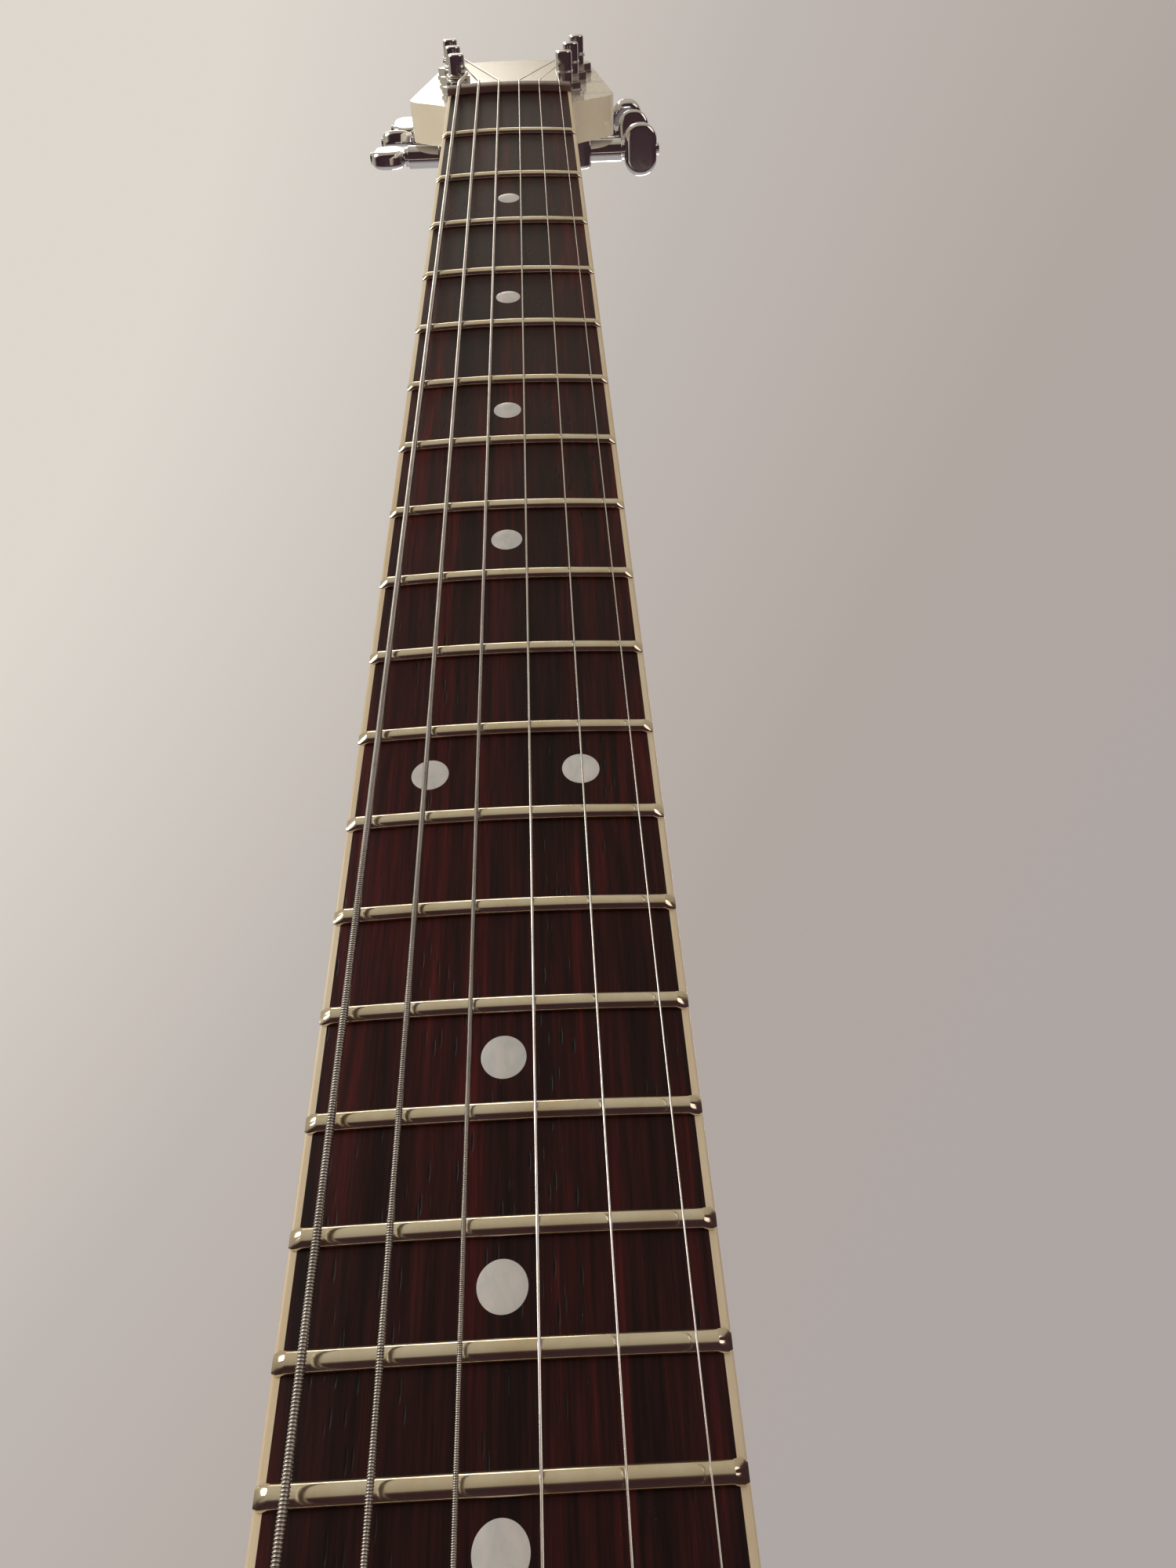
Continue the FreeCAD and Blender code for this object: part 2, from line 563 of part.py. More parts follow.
def tuner_key(index):
    """The worm, its shaft and the button, turning together about one axis."""
    x, y, side = post_places()[index]
    y, z = y - KEY_OFFSET_Y, KEY_AXIS_Z
    shaft_end = side * KEY_SHOULDER_X
    worm = rod(WORM_RADIUS, (x - side * 5, y, z), (x + side * 5, y, z))
    shaft = rod(KEY_SHAFT_RADIUS, (x + side * 5, y, z), (shaft_end + side * 3, y, z))
    collar = rod(3.2, (side * 40.9, y, z), (shaft_end, y, z))
    inner, outer = sorted((shaft_end, shaft_end + side * BUTTON_LENGTH))
    thin, wide = BUTTON_HALF_THICKNESS, BUTTON_HALF_WIDTH
    button = box(inner, outer, y - thin, y + thin, z - wide, z + wide)
    across = [e for e in button.Edges if abs(e.Vertexes[0].Y - e.Vertexes[1].Y) > 1]
    button = button.makeFillet(BUTTON_CORNER, across)
    button = button.makeFillet(BUTTON_EDGE, [e for e in button.Edges if is_flat_in_y(e)])
    button.rotate(V(0, y, z), X_AXIS, KEY_ANGLES[index])
    tip = shaft_end + side * (BUTTON_LENGTH - 0.5)
    screw = rod(2.0, (tip, y, z), (tip + side * 1.4, y, z))
    return [onto_headstock(worm.fuse([shaft, collar, button, screw]))]


def is_flat_in_y(edge):
    return abs(edge.Vertexes[0].Y - edge.Vertexes[-1].Y) < 1e-6


def tuner_housings():
    """Closed gear cases on the back of the headstock."""
    cases = []
    for x, y, side in post_places():
        low, high = y - 15.0, y + 8.5
        inner, outer = sorted((x - side * 8.5, x + side * 9.0))
        case = box(inner, outer, low, high, KEY_AXIS_Z - 5.2, -HEAD_THICKNESS)
        case = round_uprights(case, 3.0)
        case = case.makeFillet(1.6, edges_at(case, KEY_AXIS_Z - 5.2))
        key_y, z = y - KEY_OFFSET_Y, KEY_AXIS_Z
        snout = rod(3.9, (x + side * 8, key_y, z), (side * 40.6, key_y, z))
        lug_x = x - side * LUG_REACH
        lug = upright_rod(LUG_RADIUS, lug_x, y + 11.0, LUG_LOW, -HEAD_THICKNESS)
        strap = box(lug_x - LUG_RADIUS, lug_x + LUG_RADIUS, y + 7, y + 11, LUG_LOW, -HEAD_THICKNESS)
        case = case.fuse([snout, lug, strap])
        room = upright_rod(WORM_GEAR_RADIUS + 0.4, x, y, KEY_AXIS_Z - 3.2, 0)
        worm_room = rod(WORM_RADIUS + 0.3, (x - 5.6, key_y, z), (x + 5.6, key_y, z))
        bore = rod(KEY_SHAFT_RADIUS + 0.08, (x, key_y, z), (side * 42, key_y, z))
        hole = upright_rod(SCREW_CLEAR, lug_x, y + 11.0, -20, 0)
        cases.append(onto_headstock(case.cut(Part.makeCompound([room, worm_room, bore, hole]))))
    return cases


def housing_screw_places():
    return [(x - side * LUG_REACH, y + 11.0) for x, y, side in post_places()]


def tuner_bushings():
    """Hex-headed threaded bushings and their washers, which clamp the housings from the front."""
    pieces = []
    for x, y, _ in post_places():
        bore = upright_rod(POST_RADIUS + 0.08, x, y, -20, 10)
        sleeve = upright_rod(POST_HOLE_RADIUS - 0.1, x, y, -HEAD_THICKNESS + 1, 0.8)
        head = hexagon(10.4, x, y, 0.8, 3.4)
        washer = upright_rod(6.6, x, y, 0, 0.8).cut(upright_rod(POST_HOLE_RADIUS, x, y, -1, 2))
        pieces.append(onto_headstock(sleeve.fuse(head).cut(bore)))
        pieces.append(onto_headstock(washer))
    return pieces


def body_outline():
    points = [(x, y, 0) for x, y in (*TREBLE_SIDE, *BASS_SIDE, (0, JOINT_Y))]
    return Part.Face(Part.Wire([curve(points, closed=True)]))


def cavity_prism(grow, z0, z1):
    prism = plate(CAVITY_CORNERS, z0, z1)
    prism = round_uprights(prism, CAVITY_CORNER_RADIUS)
    if grow:
        bottom = [f for f in prism.Faces if abs(f.CenterOfMass.z - z0) < 1e-6][0]
        prism = Part.Face(bottom.OuterWire.makeOffset2D(grow)).extrude(V(0, 0, z1 - z0))
    return prism


def pickup_cuts(y):
    """A pickup's cavity and the pilot holes of its two screws."""
    half_x, half_y = PICKUP_LENGTH / 2 + 0.4, PICKUP_WIDTH / 2 + 0.4
    cavity = box(-half_x, half_x, y - half_y, y + half_y, PICKUP_CAVITY_FLOOR, 1)
    pilots = [
        upright_rod(PICKUP_SCREW_SHANK + 0.3, x, y, PICKUP_SCREW_END - 2, PICKUP_CAVITY_FLOOR + 1)
        for x in (-PICKUP_SCREW_X, PICKUP_SCREW_X)
    ]
    return [round_uprights(cavity, 5.0), *pilots]


def control_cuts():
    """The control cavity and its cover's ledge, and the holes for pots, switch and jack."""
    back = -BODY_THICKNESS
    cuts = [
        cavity_prism(0, back - 1, -TOP_OVER_CAVITY),
        cavity_prism(COVER_LEDGE, back - 1, back + COVER_THICKNESS + 0.1),
        upright_rod(SWITCH_BUSHING + 0.1, *SWITCH_PLACE, -10, 1),
        rod(11.0, (120, JACK_Y, JACK_Z), (JACK_FACE_X + 5, JACK_Y, JACK_Z)),
    ]
    cuts += [upright_rod(PILOT, x, y, back - 1, back + 14) for x, y in CAVITY_COVER_SCREWS]
    cuts += [upright_rod(POT_BUSHING + 0.1, x, y, -10, 1) for x, y in (VOLUME_PLACE, TONE_PLACE)]
    half, floor_x = JACK_PLATE / 2, JACK_FACE_X - JACK_PLATE_THICKNESS
    cuts.append(box(floor_x, 200, JACK_Y - half, JACK_Y + half, JACK_Z - half, JACK_Z + half))
    cuts += [rod(PILOT, (JACK_FACE_X - 14, y, z), (170, y, z)) for y, z in jack_screw_places()]
    return cuts


def neck_joint_cuts():
    """The tenon's mortise, and the flat that the heel butts against."""
    return [
        box(-TENON_HALF, TENON_HALF, TENON_END, JOINT_Y + 10, -TENON_DEPTH, 1),
        box(-30, 30, JOINT_Y, JOINT_Y + 10, -BODY_THICKNESS - 1, 1),
    ]


def body():
    """Three boards glued edge to edge, rounded together, then cut for everything they carry."""
    slab = body_outline().extrude(V(0, 0, -BODY_THICKNESS))
    slab = slab.makeFillet(BODY_EDGE_ROUND, [*edges_at(slab, 0), *edges_at(slab, -BODY_THICKNESS)])
    neck_place, bridge_place = [(x, y, WIRE_CHANNEL_Z) for x, y in WIRE_CHANNEL[:2]]
    control_place = (*WIRE_CHANNEL[2], WIRE_CHANNEL_Z)
    cuts = [*neck_joint_cuts(), *control_cuts()]
    cuts += [cut for y in PICKUP_PLACES for cut in pickup_cuts(y)]
    cuts += [rod(4.0, neck_place, bridge_place), rod(4.0, bridge_place, control_place)]
    cuts += [upright_rod(BUSHING_RADIUS, x, STUD_Y, -BUSHING_DEPTH, 1) for x in (-STUD_X, STUD_X)]
    for place, direction in strap_places():
        start, way = V(*place), V(*direction)
        cuts.append(Part.makeCylinder(STRAP_SCREW + 0.3, 26, start - way * 25, way))
    for tool in cuts:
        slab = slab.cut(tool)
    edges = (-400, *GLUE_LINES, 400)
    boards = [slab.common(box(a, b, -900, 0, -100, 100)) for a, b in zip(edges, edges[1:])]
    return [solid for board in boards for solid in board.Solids]


def strap_places():
    """(foot of the button, outward direction) of the horn's and the tail's strap buttons."""
    z = -BODY_THICKNESS / 2
    return (((-122, HORN_BUTTON_Y, z), (0, 1, 0)), ((0, TAIL_BUTTON_Y, z), (0, -1, 0)))


def turned_solid(outline):
    """Turns a closed outline of (radius, height) points round the Z axis."""
    face = Part.Face(Part.makePolygon([V(r, 0, z) for r, z in (*outline, outline[0])]))
    return face.revolve(V(0, 0, 0), Z_AXIS, 360)


def strap_button(place, direction):
    """A felt washer, a flared button and a countersunk screw, on the Z axis and then turned."""
    felt = Part.makeCylinder(7.5, 1.4, V(0, 0, 0)).cut(Part.makeCylinder(2.1, 4, V(0, 0, -1)))
    waist = [(2.1, 1.4), (7.0, 1.4), (4.6, 4.2), (4.4, 7.8), (7.3, 11.4)]
    button = turned_solid([*waist, (6.8, 12.6), (4.4, 12.6), (2.1, 10.2)])
    screw = turned_solid(
        [(0, -22), (STRAP_SCREW, -19), (STRAP_SCREW, 10.2), (4.1, 12.5), (2.8, 13.4), (0, 13.7)]
    )
    screw = screw.cut(box(-3, 3, -0.5, 0.5, 12.4, 15)).cut(box(-0.5, 0.5, -3, 3, 12.4, 15))
    turned = []
    for piece in (felt, button, screw):
        piece.rotate(V(0, 0, 0), X_AXIS, -90 * direction[1])
        piece.translate(V(*place))
        turned.append(piece)
    return turned


def strap_set(kind):
    """The felts (0), the buttons (1) or the screws (2) of both strap buttons."""
    return [strap_button(place, direction)[kind] for place, direction in strap_places()]


def control_cover():
    """The back cover, let into its ledge, countersunk for its screws."""
    back = -BODY_THICKNESS
    lid = cavity_prism(COVER_LEDGE - 0.3, back + 0.1, back + COVER_THICKNESS + 0.1)
    holes = [upright_rod(SCREW_CLEAR, x, y, back - 1, back + 5) for x, y in CAVITY_COVER_SCREWS]
    sinks = [
        Part.makeCone(3.1, SCREW_CLEAR, 1.7, V(x, y, back + 0.1), Z_AXIS)
        for x, y in CAVITY_COVER_SCREWS
    ]
    return [lid.cut(Part.makeCompound(holes)).cut(Part.makeCompound(sinks))]


def small_wood_screws():
    """The same small screw everywhere: housings, rod cover, jack plate and cavity cover."""
    screws = [
        onto_headstock(wood_screw(x, y, LUG_LOW, 7, up=-1)) for x, y in housing_screw_places()
    ]
    screws += [onto_headstock(wood_screw(x, y, 2.0, 8)) for x, y in ROD_COVER_SCREWS]
    for y, z in jack_screw_places():
        screw = wood_screw(0, 0, 0, 10)
        screw.rotate(V(0, 0, 0), Y_AXIS, 90)
        screw.translate(V(JACK_FACE_X, y, z))
        screws.append(screw)
    back = -BODY_THICKNESS
    for x, y in CAVITY_COVER_SCREWS:
        head = Part.makeCone(2.9, 1.25, 1.6, V(x, y, back + 0.15), Z_AXIS)
        shank = upright_rod(SCREW_SHANK, x, y, back + 1.0, back + 12)
        cross = box(x - 1.8, x + 1.8, y - 0.35, y + 0.35, back, back + 0.8)
        screws.append(head.fuse(shank).cut(cross))
    return screws


def pickup_cover(y):
    """An open-bottomed cover with rounded corners, holed for the poles and the height screws."""
    half_x, half_y = PICKUP_LENGTH / 2, PICKUP_WIDTH / 2
    shell = box(-half_x, half_x, y - half_y, y + half_y, PICKUP_SKIRT, PICKUP_TOP)
    shell = round_uprights(shell, 5.0)
    shell = shell.makeFillet(2.2, edges_at(shell, PICKUP_TOP))
    wall = PICKUP_WALL
    inside_x, inside_y = half_x - wall, half_y - wall
    low, high = PICKUP_SKIRT - 1, PICKUP_TOP - wall
    room = box(-inside_x, inside_x, y - inside_y, y + inside_y, low, high)
    holes = [upright_rod(2.5, x, y, 0, 20) for x in pole_places()]
    holes += [upright_rod(2.1, x, y, 0, 20) for x in (-PICKUP_SCREW_X, PICKUP_SCREW_X)]
    return shell.cut(round_uprights(room, 3.4)).cut(Part.makeCompound(holes))


def pole_places():
    return [POLE_SPACING * (k - 2.5) for k in range(6)]


def pole_screw(x, y):
    """A slotted pole screw, its head a little above the cover and following the strings' arch."""
    top = ARCH_Z + math.sqrt((BOARD_RADIUS + 1.6) ** 2 - x * x)
    head = upright_rod(2.3, x, y, top - POLE_HEAD_HEIGHT, top)
    head = head.makeFillet(0.5, edges_at(head, top))
    screw = head.fuse(upright_rod(1.5, x, y, -10.5, top - POLE_HEAD_HEIGHT))
    return screw.cut(box(x - 3, x + 3, y - 0.35, y + 0.35, top - 0.8, top + 1))


def pickup_coil(y):
    """The bobbin and its winding, bored for the pole screws."""
    bobbin = box(-39, 39, y - 15, y + 15, -1.5, 0).fuse(box(-39, 39, y - 15, y + 15, 8.0, 9.3))
    core = box(-30, 30, y - 3, y + 3, -1, 9)
    coil = round_uprights(box(-32.8, 32.8, y - 13.5, y + 13.5, 0.1, 7.9), 12.0)
    bores = [upright_rod(1.6, x, y, -5, 12) for x in pole_places()]
    bores += [upright_rod(2.0, x, y, -5, 12) for x in (-PICKUP_SCREW_X, PICKUP_SCREW_X)]
    holes = Part.makeCompound(bores)
    return [bobbin.fuse([core]).cut(holes), coil.cut(core).cut(holes)]


def pickup_magnets(y):
    """Two bar magnets under the coil, one each side of the poles."""
    return [box(-31.5, 31.5, y + side * 9 - 6, y + side * 9 + 6, -5.0, -1.7) for side in (-1, 1)]


def pickup_baseplate(y):
    sheet = round_uprights(box(-40, 40, y - 16, y + 16, -6.6, -5.2), 4.0)
    holes = [upright_rod(1.6, x, y, -12, 0) for x in pole_places()]
    holes += [upright_rod(2.0, x, y, -12, 0) for x in (-PICKUP_SCREW_X, PICKUP_SCREW_X)]
    return sheet.cut(Part.makeCompound(holes))


def pickup_mount_screws():
    """Two screws through each pickup into the body, which set its height."""
    screws = []
    for y in PICKUP_PLACES:
        for x in (-PICKUP_SCREW_X, PICKUP_SCREW_X):
            head = upright_rod(2.9, x, y, PICKUP_TOP, PICKUP_TOP + 1.5)
            head = head.makeFillet(0.5, edges_at(head, PICKUP_TOP + 1.5))
            shank = upright_rod(PICKUP_SCREW_SHANK, x, y, PICKUP_SCREW_END, PICKUP_TOP)
            slot = box(x - 3, x + 3, y - 0.4, y + 0.4, PICKUP_TOP + 0.8, PICKUP_TOP + 2)
            screws.append(head.fuse(shank).cut(slot))
    return screws


def pots():
    """Two potentiometers: a can, and a threaded bushing that the shaft turns in."""
    cans = []
    for x, y in (VOLUME_PLACE, TONE_PLACE):
        can = upright_rod(POT_CAN, x, y, -17, -TOP_OVER_CAVITY - 0.1)
        can = can.makeFillet(1.5, edges_at(can, -17))
        can = can.fuse(upright_rod(POT_BUSHING, x, y, -TOP_OVER_CAVITY - 0.1, 3.2))
        lugs = [box(x + 5 * k - 1, x + 5 * k + 1, y - 17, y - 11, -9.2, -8.4) for k in (-1, 0, 1)]
        bore = upright_rod(POT_SHAFT + 0.06, x, y, -15, 5)
        cans.append(can.fuse(lugs).cut(bore))
    return cans


def control_nuts():
    """Washers and hex nuts of the two pots, the knurled ring of the switch and the jack's nut."""
    pieces = []
    for x, y in (VOLUME_PLACE, TONE_PLACE):
        hole = upright_rod(POT_BUSHING + 0.02, x, y, -1, 5)
        pieces.append(upright_rod(8.0, x, y, 0, 0.8).cut(hole))
        pieces.append(hexagon(12.0, x, y, 0.8, 3.0).cut(hole))
    x, y = SWITCH_PLACE
    ring = upright_rod(9.0, x, y, 0, 3.0)
    ring = ring.makeFillet(0.8, edges_at(ring, 3.0))
    pieces.append(ring.cut(upright_rod(SWITCH_BUSHING + 0.02, x, y, -1, 5)))
    jack_nut = hexagon(12.7, 0, 0, 0, 2.2).cut(upright_rod(JACK_SLEEVE + 0.02, 0, 0, -1, 5))
    jack_nut.rotate(V(0, 0, 0), Y_AXIS, 90)
    jack_nut.translate(V(JACK_FACE_X, JACK_Y, JACK_Z))
    return [*pieces, jack_nut]


def shaft(place):
    x, y = place
    return [upright_rod(POT_SHAFT, x, y, -14, KNOB_FLOOR + 11)]


def knob(place):
    """A metal knob, narrower at the top, with a domed top and grooves down its side."""
    x, y = place
    low, high = KNOB_FLOOR, KNOB_FLOOR + KNOB_HEIGHT
    outline = [V(0, 0, low), V(KNOB_RADIUS, 0, low), V(KNOB_RADIUS - 0.6, 0, high - 1.2)]
    rim = V(KNOB_RADIUS - 1.8, 0, high - 0.3)
    edges = [Part.makeLine(outline[0], outline[1]), Part.makeLine(outline[1], outline[2])]
    middle = V(KNOB_RADIUS - 1.0, 0, high - 0.55)
    edges.append(Part.Arc(outline[2], middle, rim).toShape())
    edges.append(dome_arc(rim.x, rim.z, high))
    edges.append(Part.makeLine(V(0, 0, high), outline[0]))
    solid = Part.Face(Part.Wire(edges)).revolve(V(0, 0, 0), Z_AXIS, 360)
    grooves = []
    for k in range(KNOB_GROOVES):
        around = 2 * math.pi * k / KNOB_GROOVES
        groove_x, groove_y = GROOVE_REACH * math.cos(around), GROOVE_REACH * math.sin(around)
        grooves.append(upright_rod(0.6, groove_x, groove_y, low + 2, high - 2.5))
    solid = solid.cut(Part.makeCompound(grooves))
    solid.translate(V(x, y, 0))
    return [solid.cut(upright_rod(POT_SHAFT, x, y, low - 1, low + 11))]


def switch_body():
    """The selector's frame, its two stacks of contacts, and the bushing that holds the pivot pin."""
    x, y = SWITCH_PLACE
    frame = box(x - 7, x + 7, y - 17, y + 17, -11.5, -TOP_OVER_CAVITY - 0.1)
    stacks = [box(x - 6, x + 6, y + a, y + a + 8, -33, -11.5) for a in (-16, 8)]
    bushing = upright_rod(SWITCH_BUSHING, x, y, -9, 3.6)
    bore = upright_rod(SWITCH_BORE, x, y, -12, 5)
    eye = rod(SWITCH_PIN + 0.05, (x - 7, y, SWITCH_PIVOT_Z), (x + 7, y, SWITCH_PIVOT_Z))
    return [frame.fuse([*stacks, bushing]).cut(bore.fuse(eye))]


def switch_lever():
    """The lever, its ball and the pin that it rocks on."""
    x, y = SWITCH_PLACE
    ball = Part.makeSphere(2.6, V(x, y, SWITCH_PIVOT_Z))
    blade = upright_rod(LEVER_RADIUS - 0.1, x, y, -9.0, SWITCH_PIVOT_Z)
    stem = upright_rod(LEVER_RADIUS, x, y, SWITCH_PIVOT_Z, LEVER_TOP)
    pin_half = SWITCH_BUSHING - 0.4
    pin = rod(SWITCH_PIN, (x - pin_half, y, SWITCH_PIVOT_Z), (x + pin_half, y, SWITCH_PIVOT_Z))
    return [ball.fuse([blade, stem, pin])]


def switch_tip():
    """A cap that widens to a domed top, bored for the lever."""
    bottom, bore, top = (LEVER_RADIUS, TIP_LOW), (LEVER_RADIUS, LEVER_TOP), (0, LEVER_TOP)
    outline = [(0, TIP_TOP), top, bore, bottom, (TIP_NECK, TIP_LOW), (TIP_RADIUS, TIP_RIM)]
    corners = [V(r, 0, z) for r, z in outline]
    edges = [Part.makeLine(a, b) for a, b in zip(corners, corners[1:])]
    edges.append(dome_arc(TIP_RADIUS, TIP_RIM, TIP_TOP))
    tip = Part.Face(Part.Wire(edges)).revolve(V(0, 0, 0), Z_AXIS, 360)
    tip.translate(V(*SWITCH_PLACE, 0))
    return [tip]


def jack_screw_places():
    reach = JACK_PLATE / 2 - 4.0
    return [(JACK_Y + a * reach, JACK_Z + b * reach) for a, b in ((-1, -1), (-1, 1), (1, -1), (1, 1))]


def jack_plate():
    """A square plate with rounded corners, let into the body's edge."""
    half, low = JACK_PLATE / 2 - 0.15, JACK_FACE_X - JACK_PLATE_THICKNESS
    face = box(low, JACK_FACE_X, JACK_Y - half, JACK_Y + half, JACK_Z - half, JACK_Z + half)
    corners = [e for e in face.Edges if abs(e.Vertexes[0].X - e.Vertexes[-1].X) > 1]
    face = face.makeFillet(2.5, corners)
    start = JACK_FACE_X - 4
    holes = [rod(SCREW_CLEAR, (start, y, z), (170, y, z)) for y, z in jack_screw_places()]
    holes.append(rod(JACK_SLEEVE + 0.05, (start, JACK_Y, JACK_Z), (170, JACK_Y, JACK_Z)))
    return [face.cut(Part.makeCompound(holes))]


def output_jack():
    """A threaded sleeve for a 6.35 mm plug, its frame, and the spring that touches the plug's tip."""
    x, y, z = JACK_FACE_X, JACK_Y, JACK_Z
    sleeve = rod(JACK_SLEEVE, (x - 8, y, z), (x + 3.0, y, z))
    flange = rod(8.0, (x - 3.2, y, z), (x - 1.7, y, z))
    rail = box(x - 30, x - 8, y - 8, y - 6.5, z - 5, z + 5)
    front = box(x - 9.5, x - 8, y - 8, y + 6, z - 5, z + 5)
    bore = rod(JACK_BORE, (x - 40, y, z), (x + 5, y, z))
    spring = box(x - 29, x - 12, y + 6.0, y + 6.5, z - 2, z + 2)
    foot = box(x - 30, x - 29, y - 6.5, y + 6.5, z - 5, z + 5)
    return [sleeve.fuse([flange, rail, front, spring, foot]).cut(bore)]


def wire(points, radius):
    """A tube through the points, with a slightly larger ball at each corner."""
    pieces = [rod(radius, a, b) for a, b in zip(points, points[1:])]
    corners = [Part.makeSphere(1.01 * radius, V(*p)) for p in points[1:-1]]
    return pieces[0].fuse([*pieces[1:], *corners])


def wiring():
    """Leads from both pickups to the volume pot, on to the switch and the jack."""
    high, low = WIRE_CHANNEL_Z + 1.6, WIRE_CHANNEL_Z - 1.6
    neck_y, bridge_y = PICKUP_PLACES
    neck_lead = wire([(25, neck_y - 10, -9), (26, neck_y - 17, high), (30, bridge_y + 14, high)], 1.2)
    bridge_lead = wire([(30, bridge_y - 0.5, low), (73, -627, low), (74, -634, -21)], 1.2)
    jack_lead = wire([(88, -676, -20), (112, -668, -24), (128, JACK_Y - 5, JACK_Z + 2)], 1.0)
    switch_lead = wire([(84, -640, -20), (100, -634, -30), (104, -650, -31)], 1.0)
    return [neck_lead, bridge_lead, jack_lead, switch_lead]


def tone_capacitor():
    drop = rod(6.0, (90, -656, -25), (93, -656, -25))
    return [drop.makeFillet(1.2, drop.Edges[:1])]


def save(name, solids):
    """Turns a node's solids from the plan frame to the upright row frame and writes them."""
    upright = []
    for solid in solids:
        turned = solid.copy()
        turned.rotate(V(0, 0, 0), X_AXIS, 90)
        upright += turned.Solids
        for part in turned.Solids:
            if not part.isValid():
                print("NOT VALID", name)
    Part.makeCompound(upright).exportStep(f"parts/{name}.step")
    print(f"{name:22s} {len(upright):3d} solids {sum(s.Volume for s in upright) / 1000:9.2f} cm3")


def main():
    os.makedirs("parts", exist_ok=True)
    save("body", body())
    save("neck", neck())
    save("headstock_facing", headstock_facing())
    save("fretboard", fretboard())
    save("fretboard_binding", fretboard_binding())
    save("frets", [fret(n) for n in range(1, FRETS + 1)])
    save("position_dots", position_dots())
    save("side_dots", side_dots())
    save("nut", nut())
    save("truss_rod", truss_rod())
    save("truss_rod_nut", truss_rod_nut())
    save("truss_rod_cover", truss_rod_cover())
    for index, name in enumerate(STRING_NAMES):
        save(f"string_{name}", string(index))
        save(f"tuner_post_{name}", tuner_post(index))
        save(f"tuner_key_{name}", tuner_key(index))
    save("tuner_housings", tuner_housings())
    save("tuner_bushings", tuner_bushings())
    save("bridge_bar", bridge_bar())
    save("bridge_studs", bridge_studs())
    save("bridge_bushings", bridge_bushings())
    save("bridge_set_screws", bridge_set_screws())
    save("pickup_covers", [pickup_cover(y) for y in PICKUP_PLACES])
    save("pickup_coils", [s for y in PICKUP_PLACES for s in pickup_coil(y)])
    save("pickup_magnets", [s for y in PICKUP_PLACES for s in pickup_magnets(y)])
    save("pickup_baseplates", [pickup_baseplate(y) for y in PICKUP_PLACES])
    save("pickup_pole_screws", [pole_screw(x, y) for y in PICKUP_PLACES for x in pole_places()])
    save("pickup_mount_screws", pickup_mount_screws())
    for name, place in (("volume", VOLUME_PLACE), ("tone", TONE_PLACE)):
        save(f"{name}_knob", knob(place))
        save(f"{name}_shaft", shaft(place))
    save("pots", pots())
    save("control_nuts", control_nuts())
    save("switch_body", switch_body())
    save("switch_lever", switch_lever())
    save("switch_tip", switch_tip())
    save("jack_plate", jack_plate())
    save("output_jack", output_jack())
    save("wiring", wiring())
    save("tone_capacitor", tone_capacitor())
    save("control_cover", control_cover())
    save("small_wood_screws", small_wood_screws())
    save("strap_buttons", strap_set(1))
    save("strap_button_felts", strap_set(0))
    save("strap_button_screws", strap_set(2))


main()
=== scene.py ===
import json
import math

import bmesh
import bpy
from mathutils import Matrix, Vector


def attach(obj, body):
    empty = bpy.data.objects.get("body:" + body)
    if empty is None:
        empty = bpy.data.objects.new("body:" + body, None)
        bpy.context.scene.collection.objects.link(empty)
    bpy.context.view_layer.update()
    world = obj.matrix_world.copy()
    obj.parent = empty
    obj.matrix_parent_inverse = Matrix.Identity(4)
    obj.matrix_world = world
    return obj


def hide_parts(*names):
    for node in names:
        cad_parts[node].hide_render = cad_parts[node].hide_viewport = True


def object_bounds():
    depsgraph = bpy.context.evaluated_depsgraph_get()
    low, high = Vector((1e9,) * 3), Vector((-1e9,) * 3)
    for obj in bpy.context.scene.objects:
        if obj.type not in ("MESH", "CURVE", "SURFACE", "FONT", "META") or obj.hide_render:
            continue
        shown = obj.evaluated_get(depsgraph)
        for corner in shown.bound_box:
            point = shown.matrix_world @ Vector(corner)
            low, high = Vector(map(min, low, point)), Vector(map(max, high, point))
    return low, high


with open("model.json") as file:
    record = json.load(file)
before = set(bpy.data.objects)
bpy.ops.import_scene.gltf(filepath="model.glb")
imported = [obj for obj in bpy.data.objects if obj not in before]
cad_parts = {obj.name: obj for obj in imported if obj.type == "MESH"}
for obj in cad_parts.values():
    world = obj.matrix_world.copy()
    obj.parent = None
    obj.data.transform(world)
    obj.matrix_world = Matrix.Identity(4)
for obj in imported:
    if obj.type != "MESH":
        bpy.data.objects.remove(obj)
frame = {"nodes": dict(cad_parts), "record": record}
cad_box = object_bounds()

# Dimensions in millimetres. The plan frame has X to the treble side, Y up the neck and Z out of the
# face.
SCALE, FRETS = 628.65, 22
NUT_Y, NUT_LENGTH = -8.0, 5.0
NUT_WIDTH, WIDTH_AT_12 = 43.0, 52.4
BOARD_TOP, BOARD_THICKNESS, BOARD_RADIUS, BINDING = 10.5, 6.0, 305.0, 1.2
ARCH_Z = BOARD_TOP - BOARD_RADIUS
WOOD_TOP = BOARD_TOP - BOARD_THICKNESS
CROWN_WIDTH, CROWN_HEIGHT, FRET_BEVEL = 2.8, 1.25, 1.6
FRET_INSET = 0.05  # from the board's edge to a fret's end
CROWN_FULLNESS = 0.82  # an ellipse has 1, and fuller shoulders have less
CROWN_END_HEIGHT, CROWN_END_WIDTH = 0.12, 0.72  # shares of the crown's size at a fret's very end
FRET_END_STEPS = (0.0, 0.08, 0.22, 0.4, 0.58, FRET_BEVEL, FRET_BEVEL + 0.15, FRET_BEVEL + 0.4)
CROWN_STEPS, FRET_COLUMNS = 14, 27
SUNK = 0.2  # how far frets go into the wood
EDGE_ROUND = 0.45  # on the binding's outer edge
END_ROUND = 0.3  # on the binding across the board's end
